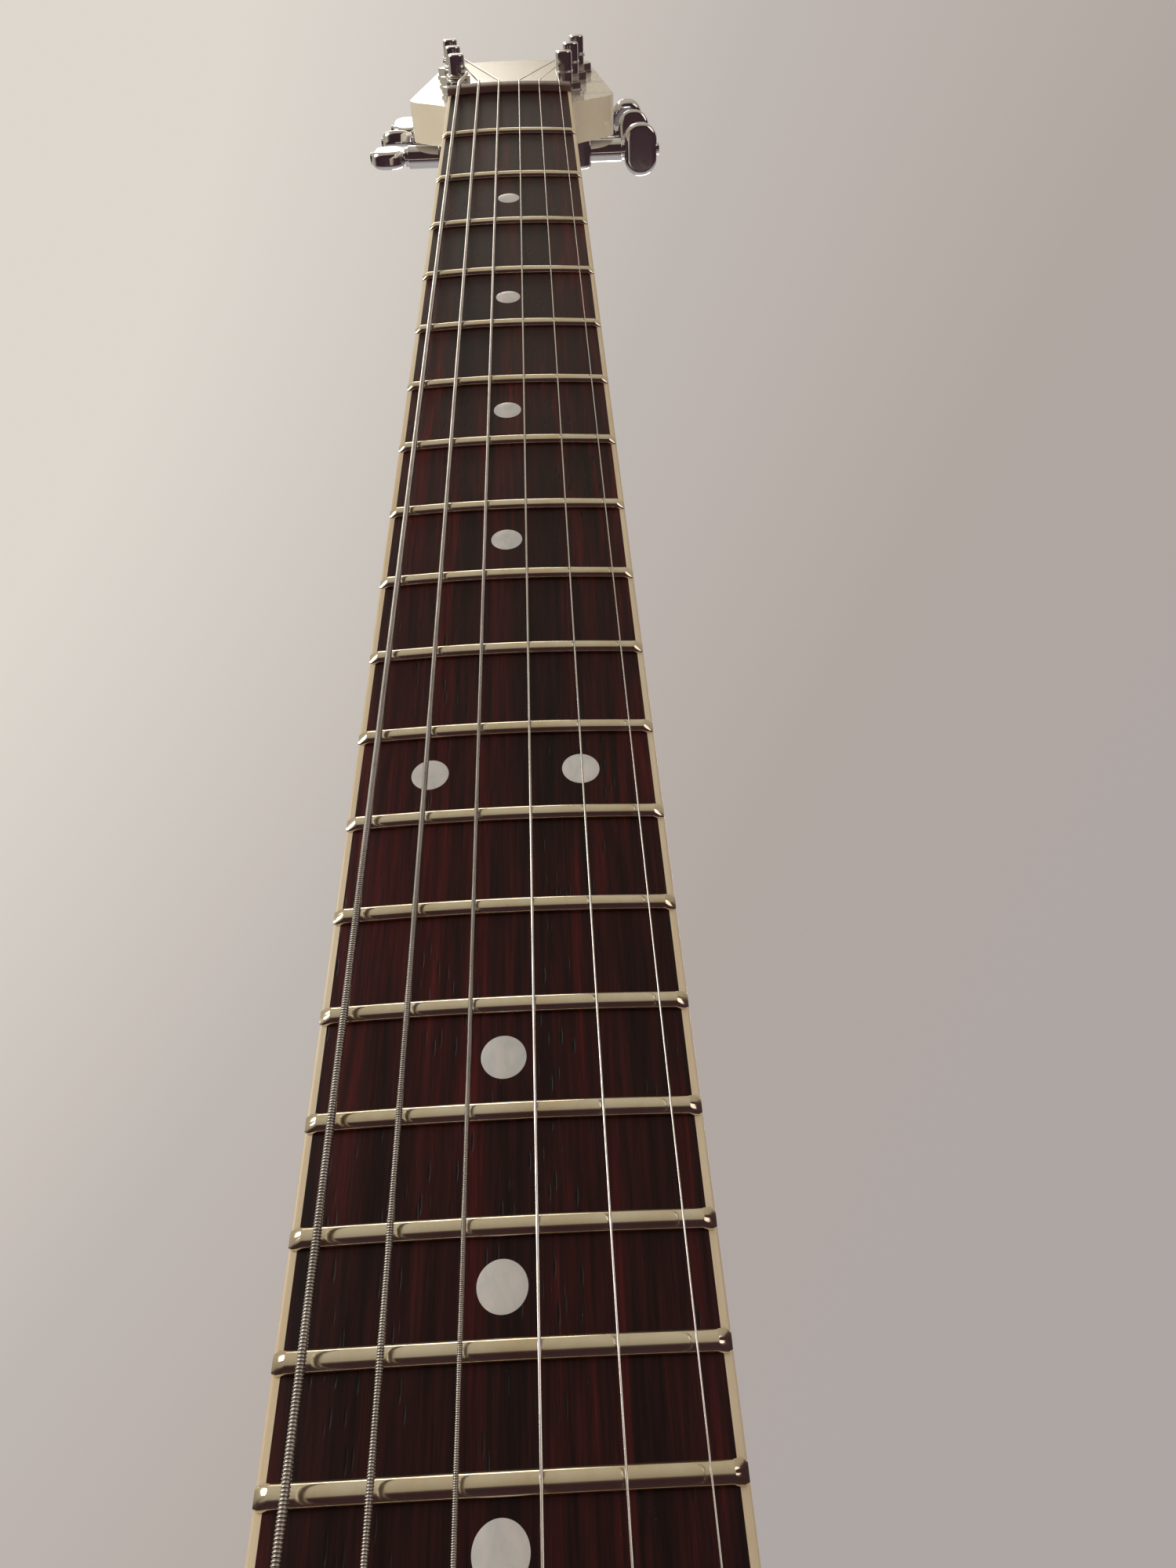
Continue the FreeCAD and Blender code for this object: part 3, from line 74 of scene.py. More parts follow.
PAST_LAST_FRET = 6.0  # from the last fret to the board's end
BOARD_ROWS, BOARD_COLUMNS = 60, 33
DOT_RADIUS, DOT_RIM, DOT_SIDES, DOUBLE_DOT_X = 3.175, 0.06, 64, 12.8
DOT_DEPTH, DOT_LIFT = 0.5, 0.03  # below and above the board's arch
SINGLE_DOT_FRETS = (3, 5, 7, 9, 15, 17, 19, 21)
STRING_SPREAD_NUT, STRING_SPREAD_BRIDGE = 35.0, 52.0
STRING_DIAMETERS = (1.168, 0.914, 0.660, 0.432, 0.330, 0.254)
WRAP_WIRES = (0.38, 0.31, 0.23)  # the winding wire's diameter on the three wound strings
WIND_GROOVE = (0.0, 0.05, 0.42)  # depth of three places along one turn, in wire diameters
STRING_NAMES = ("low_e", "a", "d", "g", "b", "high_e")
ACTION_AT_NUT, ACTION_AT_BRIDGE = 1.55, 4.4
NUT_FRONT_RISE, NUT_BACK_RISE, NUT_ROUND = 2.0, 1.62, 0.35
NUT_COLUMNS, NUT_EDGE_STEP = 421, 0.1  # columns close enough to shape the string slots
NUT_SIDE = (  # (place along the neck, share of the way back, depth below the top)
    (0, 0, NUT_ROUND),
    (NUT_EDGE_STEP, 0, NUT_EDGE_STEP),
    (NUT_ROUND, 0, 0),
    (2.5, 0.45, 0),
    (4.6, 0.95, 0),
    (NUT_LENGTH, 1, NUT_ROUND),
)
SLOT_CLEARANCE = 0.04
HEADSTOCK_TILT = math.radians(13.0)
HEAD_Y, HEAD_Z = NUT_Y + NUT_LENGTH, WOOD_TOP
POST_PLACES = ((20.0, 31.0), (23.5, 69.0), (27.0, 107.0))
POST_RADIUS, POST_TURNS, WRAP_Z = 3.0, 2.5, 7.3
BRIDGE_Y, BAR_RADIUS = NUT_Y - SCALE, 4.0
BAR_CENTRE_Z = BOARD_TOP + ACTION_AT_BRIDGE - BAR_RADIUS
BALL_Y = BRIDGE_Y + 6.5
BALL_REACH = 1.6  # from a ball's centre to the string's bend
BALL_SINK = 0.02
BAR_CLEARANCE, POST_CLEARANCE = 0.03, 0.05  # from a string's side to the bar and to its post
TURN_GAP = 0.06  # between turns on a post
SLOT_FALL = 0.05  # a string's fall over the nut
BALL_PROFILE = ((-1.5, 1.6), (-1.2, 1.9), (1.2, 1.9), (1.5, 1.6))  # (across, radius)
STRING_SIDES, BEND_SIDES, BALL_SIDES = 10, 12, 20
BEND_STEPS, WINDING_STEPS, PLAIN_STEPS, TO_POST_STEPS = 24, 90, 8, 4

# Where each light stands, what it faces, its width, its power and its colour
LIGHTS = {
    "key": ((-2.2, -1.1, 0.7), (0, 0, -0.4), 1.6, 34, (1.0, 0.95, 0.88)),
    "top": ((-0.4, -0.1, 2.2), (0, 0, -0.2), 1.0, 7, (1.0, 0.93, 0.82)),
    "fill": ((2.0, -1.7, -0.1), (0, 0, -0.5), 1.6, 9, (1.0, 0.86, 0.82)),
    "rim": ((0.5, 2.1, 1.0), (0, 0, -0.4), 1.4, 24, (1.0, 0.96, 0.92)),
}
FLOOR_SIZE, FLOOR_GAP = 6.0, 0.05

# The room: stops are (share of the way along the axis, colour). The object sees the bright side
# above and in front and the soft light behind. The camera sees the wall.
SKY_AXIS = (-0.25, -0.45, 0.857)
SKY_STOPS = (
    (0.0, (0.05, 0.028, 0.032)),
    (0.5, (0.04, 0.02, 0.024)),
    (0.6, (0.06, 0.038, 0.036)),
    (0.66, (0.33, 0.29, 0.225)),
    (1.0, (0.5, 0.45, 0.36)),
)
BEHIND_AXIS = (0.0, 1.0, 0.0)
BEHIND_STOPS = ((0.62, (0.0, 0.0, 0.0)), (0.85, (0.4, 0.39, 0.37)))
# The wall that the camera sees is painted shade: its colour goes from lighter away from WALL_AXIS to
# darker towards it.
WALL_AXIS = (0.85, 0.2, -0.5)
WALL_PAINTED_SHADE_STOPS = (
    (0.2, (0.73, 0.68, 0.62)),
    (0.36, (0.52, 0.475, 0.44)),
    (0.51, (0.44, 0.385, 0.355)),
    (0.67, (0.42, 0.38, 0.365)),
)

# The camera's place and two of its directions in the row frame, in metres, and its lens in
# millimetres
CAMERA_PLACE = (0.01135, -0.14969, -0.42655)
CAMERA_RIGHT = (0.9989, 0.01658, -0.0439)
CAMERA_DOWN = (-0.04473, 0.61952, -0.78371)
CAMERA_LENS = 24.28


def plan(x, y, z):
    """A point of the plan frame, in millimetres, as a point of the row frame, in metres."""
    return Vector((x / 1000, -z / 1000, y / 1000))


def head(x, y, z):
    """A point of the headstock's own frame in the row frame."""
    c, s = math.cos(HEADSTOCK_TILT), math.sin(HEADSTOCK_TILT)
    return plan(x, HEAD_Y + y * c + z * s, HEAD_Z - y * s + z * c)


def fret_y(number):
    return NUT_Y - SCALE * (1 - 2 ** (-number / 12))


def middle_of_fret(number):
    return (fret_y(number) + fret_y(number - 1)) / 2


BOARD_END = fret_y(FRETS) - PAST_LAST_FRET


def board_half(y):
    return NUT_WIDTH / 2 + (WIDTH_AT_12 - NUT_WIDTH) * (NUT_Y - y) / SCALE


def arch_z(x, radius=BOARD_RADIUS):
    return ARCH_Z + math.sqrt(radius * radius - x * x)


# ---------------------------------------------------------------- materials


class Shader:
    """A material's node tree, with short names for the nodes that all of them use."""

    def __init__(self, name, colour, roughness, **sockets):
        self.material = bpy.data.materials.new(name)
        self.material.use_nodes = True
        self.tree = self.material.node_tree
        self.bsdf = self.tree.nodes["Principled BSDF"]
        self.bsdf.inputs["Base Color"].default_value = (*colour, 1)
        self.bsdf.inputs["Roughness"].default_value = roughness
        for key, value in sockets.items():
            self.bsdf.inputs[key.replace("_", " ")].default_value = value
        self.place = self.node("ShaderNodeTexCoord").outputs["Object"]
        self.bump_out = None

    def node(self, kind, **settings):
        made = self.tree.nodes.new(kind)
        for key, value in settings.items():
            setattr(made, key, value)
        return made

    def link(self, a, b):
        self.tree.links.new(a, b)

    def scaled(self, scale):
        """Coordinates stretched by (x, y, z), for grain that runs along an axis."""
        mapping = self.node("ShaderNodeMapping")
        mapping.inputs["Scale"].default_value = scale
        self.link(self.place, mapping.inputs["Vector"])
        return mapping.outputs["Vector"]

    def noise(self, scale, detail=4.0, rough=0.55, stretch=(1, 1, 1), distortion=0.0):
        made = self.node("ShaderNodeTexNoise")
        made.inputs["Scale"].default_value = scale
        made.inputs["Detail"].default_value = detail
        made.inputs["Roughness"].default_value = rough
        made.inputs["Distortion"].default_value = distortion
        self.link(self.scaled(stretch), made.inputs["Vector"])
        return made.outputs["Fac"]

    def voronoi(self, scale, stretch=(1, 1, 1)):
        made = self.node("ShaderNodeTexVoronoi")
        made.inputs["Scale"].default_value = scale
        self.link(self.scaled(stretch), made.inputs["Vector"])
        return made.outputs["Distance"]

    def ramp(self, value, *stops):
        """Stops are (position, grey or colour)."""
        made = self.node("ShaderNodeValToRGB")
        elements = made.color_ramp.elements
        while len(elements) < len(stops):
            elements.new(0.5)
        for element, (position, colour) in zip(elements, stops):
            element.position = position
            shade = colour if hasattr(colour, "__len__") else (colour,) * 3
            element.color = (*shade, 1)
        self.link(value, made.inputs["Fac"])
        return made.outputs["Color"]

    def mix(self, factor, a, b, blend="MIX"):
        made = self.node("ShaderNodeMix", data_type="RGBA", blend_type=blend)
        for value, index in ((factor, 0), (a, 6), (b, 7)):
            socket = made.inputs[index]
            if isinstance(value, bpy.types.NodeSocket):
                self.link(value, socket)
            elif index == 0:
                socket.default_value = value
            else:
                socket.default_value = (*value, 1)
        return made.outputs[2]

    def colour(self, value):
        self.link(value, self.bsdf.inputs["Base Color"])

    def roughness(self, value, low, high):
        made = self.node("ShaderNodeMapRange")
        made.inputs["To Min"].default_value = low
        made.inputs["To Max"].default_value = high
        self.link(value, made.inputs["Value"])
        self.link(made.outputs["Result"], self.bsdf.inputs["Roughness"])

    def bump(self, value, distance, strength=1.0):
        """Adds a layer of relief, distance in metres, on top of the earlier ones."""
        made = self.node("ShaderNodeBump")
        made.inputs["Distance"].default_value = distance
        made.inputs["Strength"].default_value = strength
        self.link(value, made.inputs["Height"])
        if self.bump_out is not None:
            self.link(self.bump_out, made.inputs["Normal"])
        self.bump_out = made.outputs["Normal"]
        self.link(self.bump_out, self.bsdf.inputs["Normal"])


def rosewood():
    """Dark red-brown wood: soft bands, narrow broken streaks up the neck, pores and a little dust."""
    s = Shader("rosewood", (0.05, 0.02, 0.015), 0.45, Specular_IOR_Level=0.2)
    bands = s.noise(130, 4, 0.62, (1, 1, 0.05), 0.9)
    streaks = s.noise(760, 6, 0.7, (1, 1, 0.04), 0.4)
    fine = s.noise(2300, 4, 0.65, (1, 1, 0.03))
    base = s.ramp(
        bands,
        (0.3, (0.007, 0.0015, 0.0022)),
        (0.5, (0.024, 0.0035, 0.0045)),
        (0.72, (0.066, 0.006, 0.0075)),
    )
    streak = s.ramp(
        streaks,
        (0.34, (0.3, 0.24, 0.26)),
        (0.5, (0.85, 0.75, 0.75)),
        (0.7, (1.7, 1.3, 1.2)),
    )
    wood = s.mix(1.0, base, streak, "MULTIPLY")
    wood = s.mix(0.6, wood, s.ramp(fine, (0.35, 0.45), (0.65, 1.6)), "MULTIPLY")
    pores = s.ramp(s.voronoi(1100, (1, 1, 0.14)), (0.0, 1.0), (0.16, 1.0), (0.26, 0.0))
    patches = s.ramp(s.noise(150, 2, 0.5, (1, 1, 0.15)), (0.48, 0.0), (0.6, 1.0))
    pore_mask = s.mix(1.0, pores, patches, "MULTIPLY")
    wood = s.mix(pore_mask, wood, (0.003, 0.0018, 0.0018))
    dust = s.ramp(s.voronoi(900), (0.0, 1.0), (0.035, 0.0))
    dust_patches = s.ramp(s.noise(45, 3, 0.6), (0.55, 0.0), (0.63, 1.0))
    s.colour(s.mix(s.mix(1.0, dust, dust_patches, "MULTIPLY"), wood, (0.35, 0.3, 0.27)))
    s.roughness(streaks, 0.36, 0.55)
    s.bump(fine, 0.00003, 0.5)
    s.bump(s.ramp(pore_mask, (0, 1.0), (1, 0.0)), 0.00008, 0.8)
    return s.material


def lacquer(name, colour, shade):
    """Glossy coat over a pale colour, with faint mottling, slow ripples and fine wiping marks."""
    s = Shader(name, colour, 0.18, Coat_Weight=0.6, Coat_Roughness=0.06)
    mottle = s.noise(70, 5, 0.65)
    s.colour(s.mix(s.ramp(mottle, (0.3, 0.0), (0.75, 1.0)), colour, shade))
    marks = s.noise(600, 4, 0.7, (1, 1, 0.08))
    s.roughness(marks, 0.12, 0.26)
    s.bump(s.noise(35, 2), 0.0002, 0.15)
    s.bump(marks, 0.00001, 0.25)
    return s.material


def plastic(name, colour, shade, low, high):
    """Moulded plastic or resin: slightly uneven colour and a fine skin."""
    s = Shader(name, colour, (low + high) / 2)
    s.colour(s.mix(s.ramp(s.noise(60, 4), (0.35, 0.0), (0.7, 1.0)), colour, shade))
    texture = s.noise(900, 4, 0.6)
    s.roughness(texture, low, high)
    s.bump(texture, 0.00002, 0.3)
    return s.material


def binding_plastic():
    """Aged cream binding with faint lines along the neck and amber patches."""
    s = Shader("cream_plastic", (0.72, 0.56, 0.36), 0.35, Subsurface_Weight=0.12)
    s.bsdf.inputs["Subsurface Radius"].default_value = (0.004, 0.003, 0.0015)
    lines = s.noise(900, 3, 0.6, (1, 1, 0.015))
    age = s.noise(45, 4, 0.6, (1, 1, 0.3))
    base = s.ramp(age, (0.3, (0.72, 0.64, 0.5)), (0.7, (0.62, 0.5, 0.34)))
    s.colour(s.mix(0.35, base, s.ramp(lines, (0.35, 0.75), (0.65, 1.15)), "MULTIPLY"))
    s.roughness(lines, 0.28, 0.46)
    s.bump(lines, 0.00002, 0.4)
    return s.material


def pearl():
    """Grey-white shell with cloudy patches."""
    s = Shader("pearl", (0.6, 0.62, 0.6), 0.22, Coat_Weight=0.4, Coat_Roughness=0.08)
    cloud = s.noise(260, 4, 0.6, (1, 1, 0.6), 1.2)
    grey = s.ramp(cloud, (0.3, (0.5, 0.52, 0.56)), (0.5, (0.58, 0.59, 0.61)), (0.7, (0.66, 0.62, 0.64)))
    s.colour(grey)
    s.roughness(cloud, 0.16, 0.3)
    s.bump(s.noise(1500, 3), 0.00001, 0.2)
    return s.material


def metal(name, colour, shade, low, high, marks=(1, 1, 1), scale=800, relief=0.3):
    """Metal with tarnish in patches and fine marks, drawn out along the axis where marks is small."""
    s = Shader(name, colour, (low + high) / 2, Metallic=1.0)
    tarnish = s.noise(120, 5, 0.65)
    s.colour(s.mix(s.ramp(tarnish, (0.4, 0.0), (0.75, 1.0)), colour, shade))
    lines = s.noise(scale, 5, 0.7, marks)
    s.roughness(lines, low, high)
    s.bump(lines, 0.00001, relief)
    return s.material


def felt():
    """Matt black cloth of fine fibres."""
    s = Shader("felt", (0.02, 0.02, 0.02), 0.95, Sheen_Weight=0.5)
    fibres = s.noise(2500, 5, 0.8)
    s.colour(s.ramp(fibres, (0.3, 0.008), (0.7, 0.05)))
    s.bump(fibres, 0.0002, 0.8)
    return s.material


FINISHES = {
    "rosewood": rosewood(),
    "cream_lacquer": lacquer("cream_lacquer", (0.76, 0.71, 0.6), (0.72, 0.66, 0.54)),
    "cream_plastic": binding_plastic(),
    "parchment_plastic": plastic("parchment_plastic", (0.74, 0.7, 0.6), (0.66, 0.6, 0.48), 0.16, 0.3),
    "fret_wire": metal("fret_wire", (0.86, 0.79, 0.64), (0.72, 0.6, 0.42), 0.08, 0.2, (0.04, 1, 1), 1400),
    "pearl": pearl(),
    "black_plastic": plastic("black_plastic", (0.012, 0.012, 0.013), (0.025, 0.024, 0.023), 0.12, 0.3),
    "dark_nut": plastic("dark_nut", (0.09, 0.045, 0.04), (0.15, 0.085, 0.075), 0.35, 0.55),
    "steel": metal("steel", (0.6, 0.6, 0.61), (0.42, 0.4, 0.38), 0.2, 0.42),
    "brass": metal("brass", (0.78, 0.58, 0.26), (0.55, 0.36, 0.14), 0.2, 0.42),
    "chrome": metal("chrome", (0.83, 0.83, 0.85), (0.72, 0.72, 0.74), 0.03, 0.12, relief=0.1),
    "wound_string": metal("wound_string", (0.66, 0.64, 0.61), (0.46, 0.43, 0.4), 0.2, 0.4, scale=2500),
    "plain_string": metal("plain_string", (0.75, 0.74, 0.74), (0.6, 0.55, 0.5), 0.15, 0.3, (1, 1, 0.02)),
    "coil_wire": metal("coil_wire", (0.5, 0.15, 0.05), (0.3, 0.08, 0.03), 0.3, 0.5, (1, 0.02, 1), 900),
    "magnet": plastic("magnet", (0.08, 0.08, 0.085), (0.05, 0.045, 0.04), 0.5, 0.8),
    "capacitor_resin": plastic("capacitor_resin", (0.6, 0.18, 0.03), (0.45, 0.12, 0.02), 0.2, 0.4),
    "felt": felt(),
}

for part in frame["record"]["subparts"]:
    mesh = frame["nodes"][part["node"]].data
    mesh.materials.clear()
    mesh.materials.append(FINISHES[part["material_slot"]])


# ---------------------------------------------------------------- meshes


def piece(name, skin, slot, replaced, angle=35):
    """A mesh piece in the row frame, fixed to the guitar, that stands for the node it replaces."""
    mesh = bpy.data.meshes.new(name)
    mesh.from_pydata([tuple(v) for v in skin.vertices], [], skin.faces)
    mesh.validate()
    made = bmesh.new()
    made.from_mesh(mesh)
    bmesh.ops.recalc_face_normals(made, faces=made.faces)
    made.to_mesh(mesh)
    made.free()
    mesh.materials.append(FINISHES[slot])
    obj = bpy.data.objects.new(name, mesh)
    bpy.context.scene.collection.objects.link(obj)
    mesh.shade_smooth()
    mesh.set_sharp_from_angle(angle=math.radians(angle))
    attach(obj, "root")
    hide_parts(replaced)


class Skin:
    """Vertices and faces gathered from closed rows and their caps."""

    def __init__(self):
        self.vertices, self.faces = [], []

    def add(self, points):
        start = len(self.vertices)
        self.vertices += points
        return list(range(start, start + len(points)))

    def join(self, a, b):
        count = len(a)
        for k in range(count):
            n = (k + 1) % count
            self.faces.append((a[k], a[n], b[n], b[k]))

    def loft(self, rows):
        """Joins closed rows one after the other, and caps the first and the last."""
        rings = [self.add(row) for row in rows]
        for a, b in zip(rings, rings[1:]):
            self.join(a, b)
        self.faces += [tuple(rings[0]), tuple(rings[-1][::-1])]


def ring(centre, along, radius, sides):
    """Points of a circle round centre, square to along."""
    along = along.normalized()
    side = along.cross(Vector((1, 0, 0))).normalized()
    other = along.cross(side)
    turns = [2 * math.pi * k / sides for k in range(sides)]
    return [centre + (side * math.cos(t) + other * math.sin(t)) * radius for t in turns]


def tube(skin, path, radius, sides):
    """A round tube along a list of points. radius is one number or one per point."""
    radii = radius if hasattr(radius, "__len__") else [radius] * len(path)
    rows = []
    for k, point in enumerate(path):
        along = path[min(k + 1, len(path) - 1)] - path[max(k - 1, 0)]
        rows.append(ring(point, along, radii[k], sides))
    skin.loft(rows)


def spaced(low, high, count):
    return [low + (high - low) * k / (count - 1) for k in range(count)]


def board_surface():
    """The rosewood between the bindings: a closed slab with an arched top."""
    rows = []
    for y in spaced(NUT_Y, BOARD_END + BINDING, BOARD_ROWS):
        half = board_half(y) - BINDING
        xs = spaced(-half, half, BOARD_COLUMNS)
        top = [plan(x, y, arch_z(x)) for x in xs]
        rows.append(top + [plan(half, y, WOOD_TOP), plan(-half, y, WOOD_TOP)])
    skin = Skin()
    skin.loft(rows)
    piece("fretboard_wood", skin, "rosewood", "fretboard")


def side_binding_section(y, side):
    """Bottom inside, bottom outside, up the rounded outer edge and over the top."""
    half = board_half(y)
    inner = half - BINDING
    edge_z = arch_z(half)
    centre_x, centre_z = half - EDGE_ROUND, edge_z - EDGE_ROUND
    points = [(inner, WOOD_TOP), (half, WOOD_TOP), (half, centre_z)]
    for degrees in (30, 60, 90):
        a = math.radians(degrees)
        points.append((centre_x + EDGE_ROUND * math.cos(a), centre_z + EDGE_ROUND * math.sin(a)))
    points.append((inner, arch_z(inner)))
    return [plan(side * x, y, z) for x, z in points]


def end_binding_section(x):
    """Up the bevelled end of the board, over the top and down the inner side."""
    top, inner_y = arch_z(x), BOARD_END + BINDING
    points = [(BOARD_END, WOOD_TOP), (BOARD_END, top - END_ROUND), (BOARD_END + END_ROUND, top)]
    points += [(inner_y, top), (inner_y, WOOD_TOP)]
    return [plan(x, y, z) for y, z in points]


def bindings():
    """The pale strips along the board's two sides and across its end."""
    skin = Skin()
    for side in (-1, 1):
        skin.loft([side_binding_section(y, side) for y in spaced(NUT_Y, BOARD_END, BOARD_ROWS)])
    inner = board_half(BOARD_END) - BINDING
    skin.loft([end_binding_section(x) for x in spaced(-inner, inner, BOARD_COLUMNS)])
    piece("binding_strips", skin, "cream_plastic", "fretboard_binding")


def dot_ring(x0, y0, radius, lift):
    """A circle round a plan point, lift above the board's arch."""
    points = []
    for k in range(DOT_SIDES):
        a = math.tau * k / DOT_SIDES
        x = x0 + radius * math.cos(a)
        points.append(plan(x, y0 + radius * math.sin(a), arch_z(x) + lift))
    return points


def dots():
    """Flat inlays that follow the board's arch and stand a hair above it."""
    places = [(0, middle_of_fret(n)) for n in SINGLE_DOT_FRETS]
    places += [(x, middle_of_fret(12)) for x in (-DOUBLE_DOT_X, DOUBLE_DOT_X)]
    rings = (
        (DOT_RADIUS, -DOT_DEPTH),
        (DOT_RADIUS, 0.0),
        (DOT_RADIUS - DOT_RIM, DOT_LIFT),
        (DOT_RADIUS / 2, DOT_LIFT),
    )
    skin = Skin()
    for place in places:
        skin.loft([dot_ring(*place, radius, lift) for radius, lift in rings])
    piece("inlay_dots", skin, "pearl", "position_dots")


def crown_section(x, y, gap):
    """Across a fret at x, gap from the fret's end: over the crown and down into the wood."""
    size = CROWN_END_HEIGHT + (1 - CROWN_END_HEIGHT) * min(gap / FRET_BEVEL, 1.0)
    reach = CROWN_WIDTH / 2 * min(1.0, CROWN_END_WIDTH + gap / 2)
    points = []
    for step in range(CROWN_STEPS + 1):
        a = math.pi * step / CROWN_STEPS
        rise = CROWN_HEIGHT * size * math.sin(a) ** CROWN_FULLNESS
        points.append(plan(x, y - reach * math.cos(a), arch_z(x) + rise))
    return points + [plan(x, y + side * reach, arch_z(x) - SUNK) for side in (1, -1)]


def fret_wires():
    """Crowns with rounded shoulders and bevelled, softened ends that run out over the binding."""
    skin = Skin()
    for number in range(1, FRETS + 1):
        y = fret_y(number)
        half = board_half(y) - FRET_INSET
        inner = half - FRET_END_STEPS[-1]
        xs = [-half + step for step in FRET_END_STEPS]
        xs += spaced(-inner, inner, FRET_COLUMNS)[1:-1]
        xs += [half - step for step in FRET_END_STEPS[::-1]]
        skin.loft([crown_section(x, y, half - abs(x)) for x in xs])
    piece("fret_crowns", skin, "fret_wire", "frets", angle=32)


def nut_rise(x, t):
    """The nut's height over the arch at x, t of the way back, with a slot under each string."""
    rise = NUT_FRONT_RISE + (NUT_BACK_RISE - NUT_FRONT_RISE) * t
    for index, diameter in enumerate(STRING_DIAMETERS):
        radius = diameter / 2 + SLOT_CLEARANCE
        off = abs(x - STRING_SPREAD_NUT * (index / 5 - 0.5))
        if off < radius:
            rise = min(rise, ACTION_AT_NUT + radius - math.sqrt(radius * radius - off * off))
    return rise


def nut_block():
    """A dark nut with rounded edges whose top falls towards the headstock, slotted for the strings."""
    half = NUT_WIDTH / 2
    inner = half - NUT_ROUND
    columns = [-half, -half + NUT_EDGE_STEP, -inner]
    columns += spaced(-inner, inner, NUT_COLUMNS)[1:-1] + [inner, half - NUT_EDGE_STEP, half]
    rows = []
    for x in columns:
        past = max(0.0, abs(x) - half + NUT_ROUND) / NUT_ROUND
        drop = NUT_ROUND * (1 - math.sqrt(max(0.0, 1 - past**2)))
        row = [plan(x, NUT_Y, WOOD_TOP)]
        for y, t, sink in NUT_SIDE:
            row.append(plan(x, NUT_Y + y, arch_z(x) + nut_rise(x, t) - sink - drop))
        rows.append([*row, plan(x, NUT_Y + NUT_LENGTH, WOOD_TOP)])
    skin = Skin()
    skin.loft(rows)
    piece("nut_block", skin, "dark_nut", "nut")


def string_at_nut(index):
    x = STRING_SPREAD_NUT * (index / 5 - 0.5)
    return x, arch_z(x, BOARD_RADIUS + ACTION_AT_NUT + STRING_DIAMETERS[index] / 2)


def swing(point, angle):
    """Turns a plan point (x, y, z) about the arch's axis."""
    x, y, z = point
    height = z - ARCH_Z
    c, s = math.cos(angle), math.sin(angle)
    return x * c + height * s, y, ARCH_Z + height * c - x * s


def bridge_angle(index):
    """The angle about the arch's axis of a string's place at the bridge."""
    return math.asin(STRING_SPREAD_BRIDGE * (index / 5 - 0.5) / (BOARD_RADIUS + ACTION_AT_BRIDGE))


def post_places():
    """Each post's (x, y) on the headstock and its side, in the strings' order."""
    bass = [(-x, y, -1) for x, y in POST_PLACES]
    return bass + [(x, y, 1) for x, y in POST_PLACES[::-1]]


def string_bend(index):
    """From the ball under the bar, round the bar's tail side and up to its top."""
    wrap = BAR_RADIUS + STRING_DIAMETERS[index] / 2 + BAR_CLEARANCE
    bend = [(0, BALL_Y - BALL_REACH, BAR_CENTRE_Z - wrap)]
    for step in range(BEND_STEPS + 1):
        a = math.pi * step / BEND_STEPS
        bend.append((0, BRIDGE_Y - wrap * math.sin(a), BAR_CENTRE_Z - wrap * math.cos(a)))
    return [plan(*swing(point, bridge_angle(index))) for point in bend]


def string_turns(index):
    """The turns on the post, from the top one down."""
    radius = STRING_DIAMETERS[index] / 2
    post_x, post_y, side = post_places()[index]
    winding = POST_RADIUS + radius + POST_CLEARANCE
    turns = []
    for step in range(WINDING_STEPS + 1):
        t = step / WINDING_STEPS
        a = math.pi - math.tau * POST_TURNS * t if side > 0 else math.tau * POST_TURNS * t
        x, y = post_x + winding * math.cos(a), post_y + winding * math.sin(a)
        turns.append(head(x, y, WRAP_Z - POST_TURNS * t * (2 * radius + TURN_GAP)))
    return turns


def ball_end(skin, index):
    """The ball that holds a string in the bridge, on the string's own piece."""
    z = BAR_CENTRE_Z - BAR_RADIUS - STRING_DIAMETERS[index] / 2 - BALL_SINK
    path = [plan(*swing((x, BALL_Y, z), bridge_angle(index))) for x, radius in BALL_PROFILE]
    tube(skin, path, [radius / 1000 for x, radius in BALL_PROFILE], BALL_SIDES)


def straight(start, end, steps):
    return [start.lerp(end, k / steps) for k in range(steps + 1)]


def speaking_length(skin, index, start, end):
    """A string from the bridge to the nut, grooved by its winding if it is wound."""
    radius = STRING_DIAMETERS[index] / 2000
    if index >= len(WRAP_WIRES):
        tube(skin, straight(start, end, PLAIN_STEPS), radius, STRING_SIDES)
        return
    wire_size = WRAP_WIRES[index] / 1000
    count = int((end - start).length / wire_size) * len(WIND_GROOVE)
    radii = [radius - WIND_GROOVE[k % len(WIND_GROOVE)] * wire_size for k in range(count + 1)]
    tube(skin, straight(start, end, count), radii, STRING_SIDES)


def strings():
    """Each string from its ball, round the bar and over the nut to the turns on its post."""
    for index, name in enumerate(STRING_NAMES):
        radius = STRING_DIAMETERS[index] / 2000
        bend, turns = string_bend(index), string_turns(index)
        x, z = string_at_nut(index)
        nut_front, nut_back = plan(x, NUT_Y, z), plan(x, HEAD_Y, z - SLOT_FALL)
        skin = Skin()
        ball_end(skin, index)
        tube(skin, bend, radius, BEND_SIDES)
        speaking_length(skin, index, bend[-1], nut_front)
        to_post = straight(nut_back, turns[0], TO_POST_STEPS)
        tube(skin, [nut_front, *to_post, *turns[1:]], radius, STRING_SIDES)
        slot = "wound_string" if index < len(WRAP_WIRES) else "plain_string"
        piece(f"wire_{name}", skin, slot, f"string_{name}", angle=80)


board_surface()
bindings()
dots()
fret_wires()
nut_block()
strings()


# ---------------------------------------------------------------- stage


def area_light(name, place, target, size, power, colour):
    data = bpy.data.lights.new(name, "AREA")
    data.shape, data.size, data.energy, data.color = "DISK", size, power, colour
    obj = bpy.data.objects.new(name, data)
    bpy.context.scene.collection.objects.link(obj)
    obj.location = place
    obj.rotation_euler = (Vector(target) - Vector(place)).to_track_quat("-Z", "Y").to_euler()


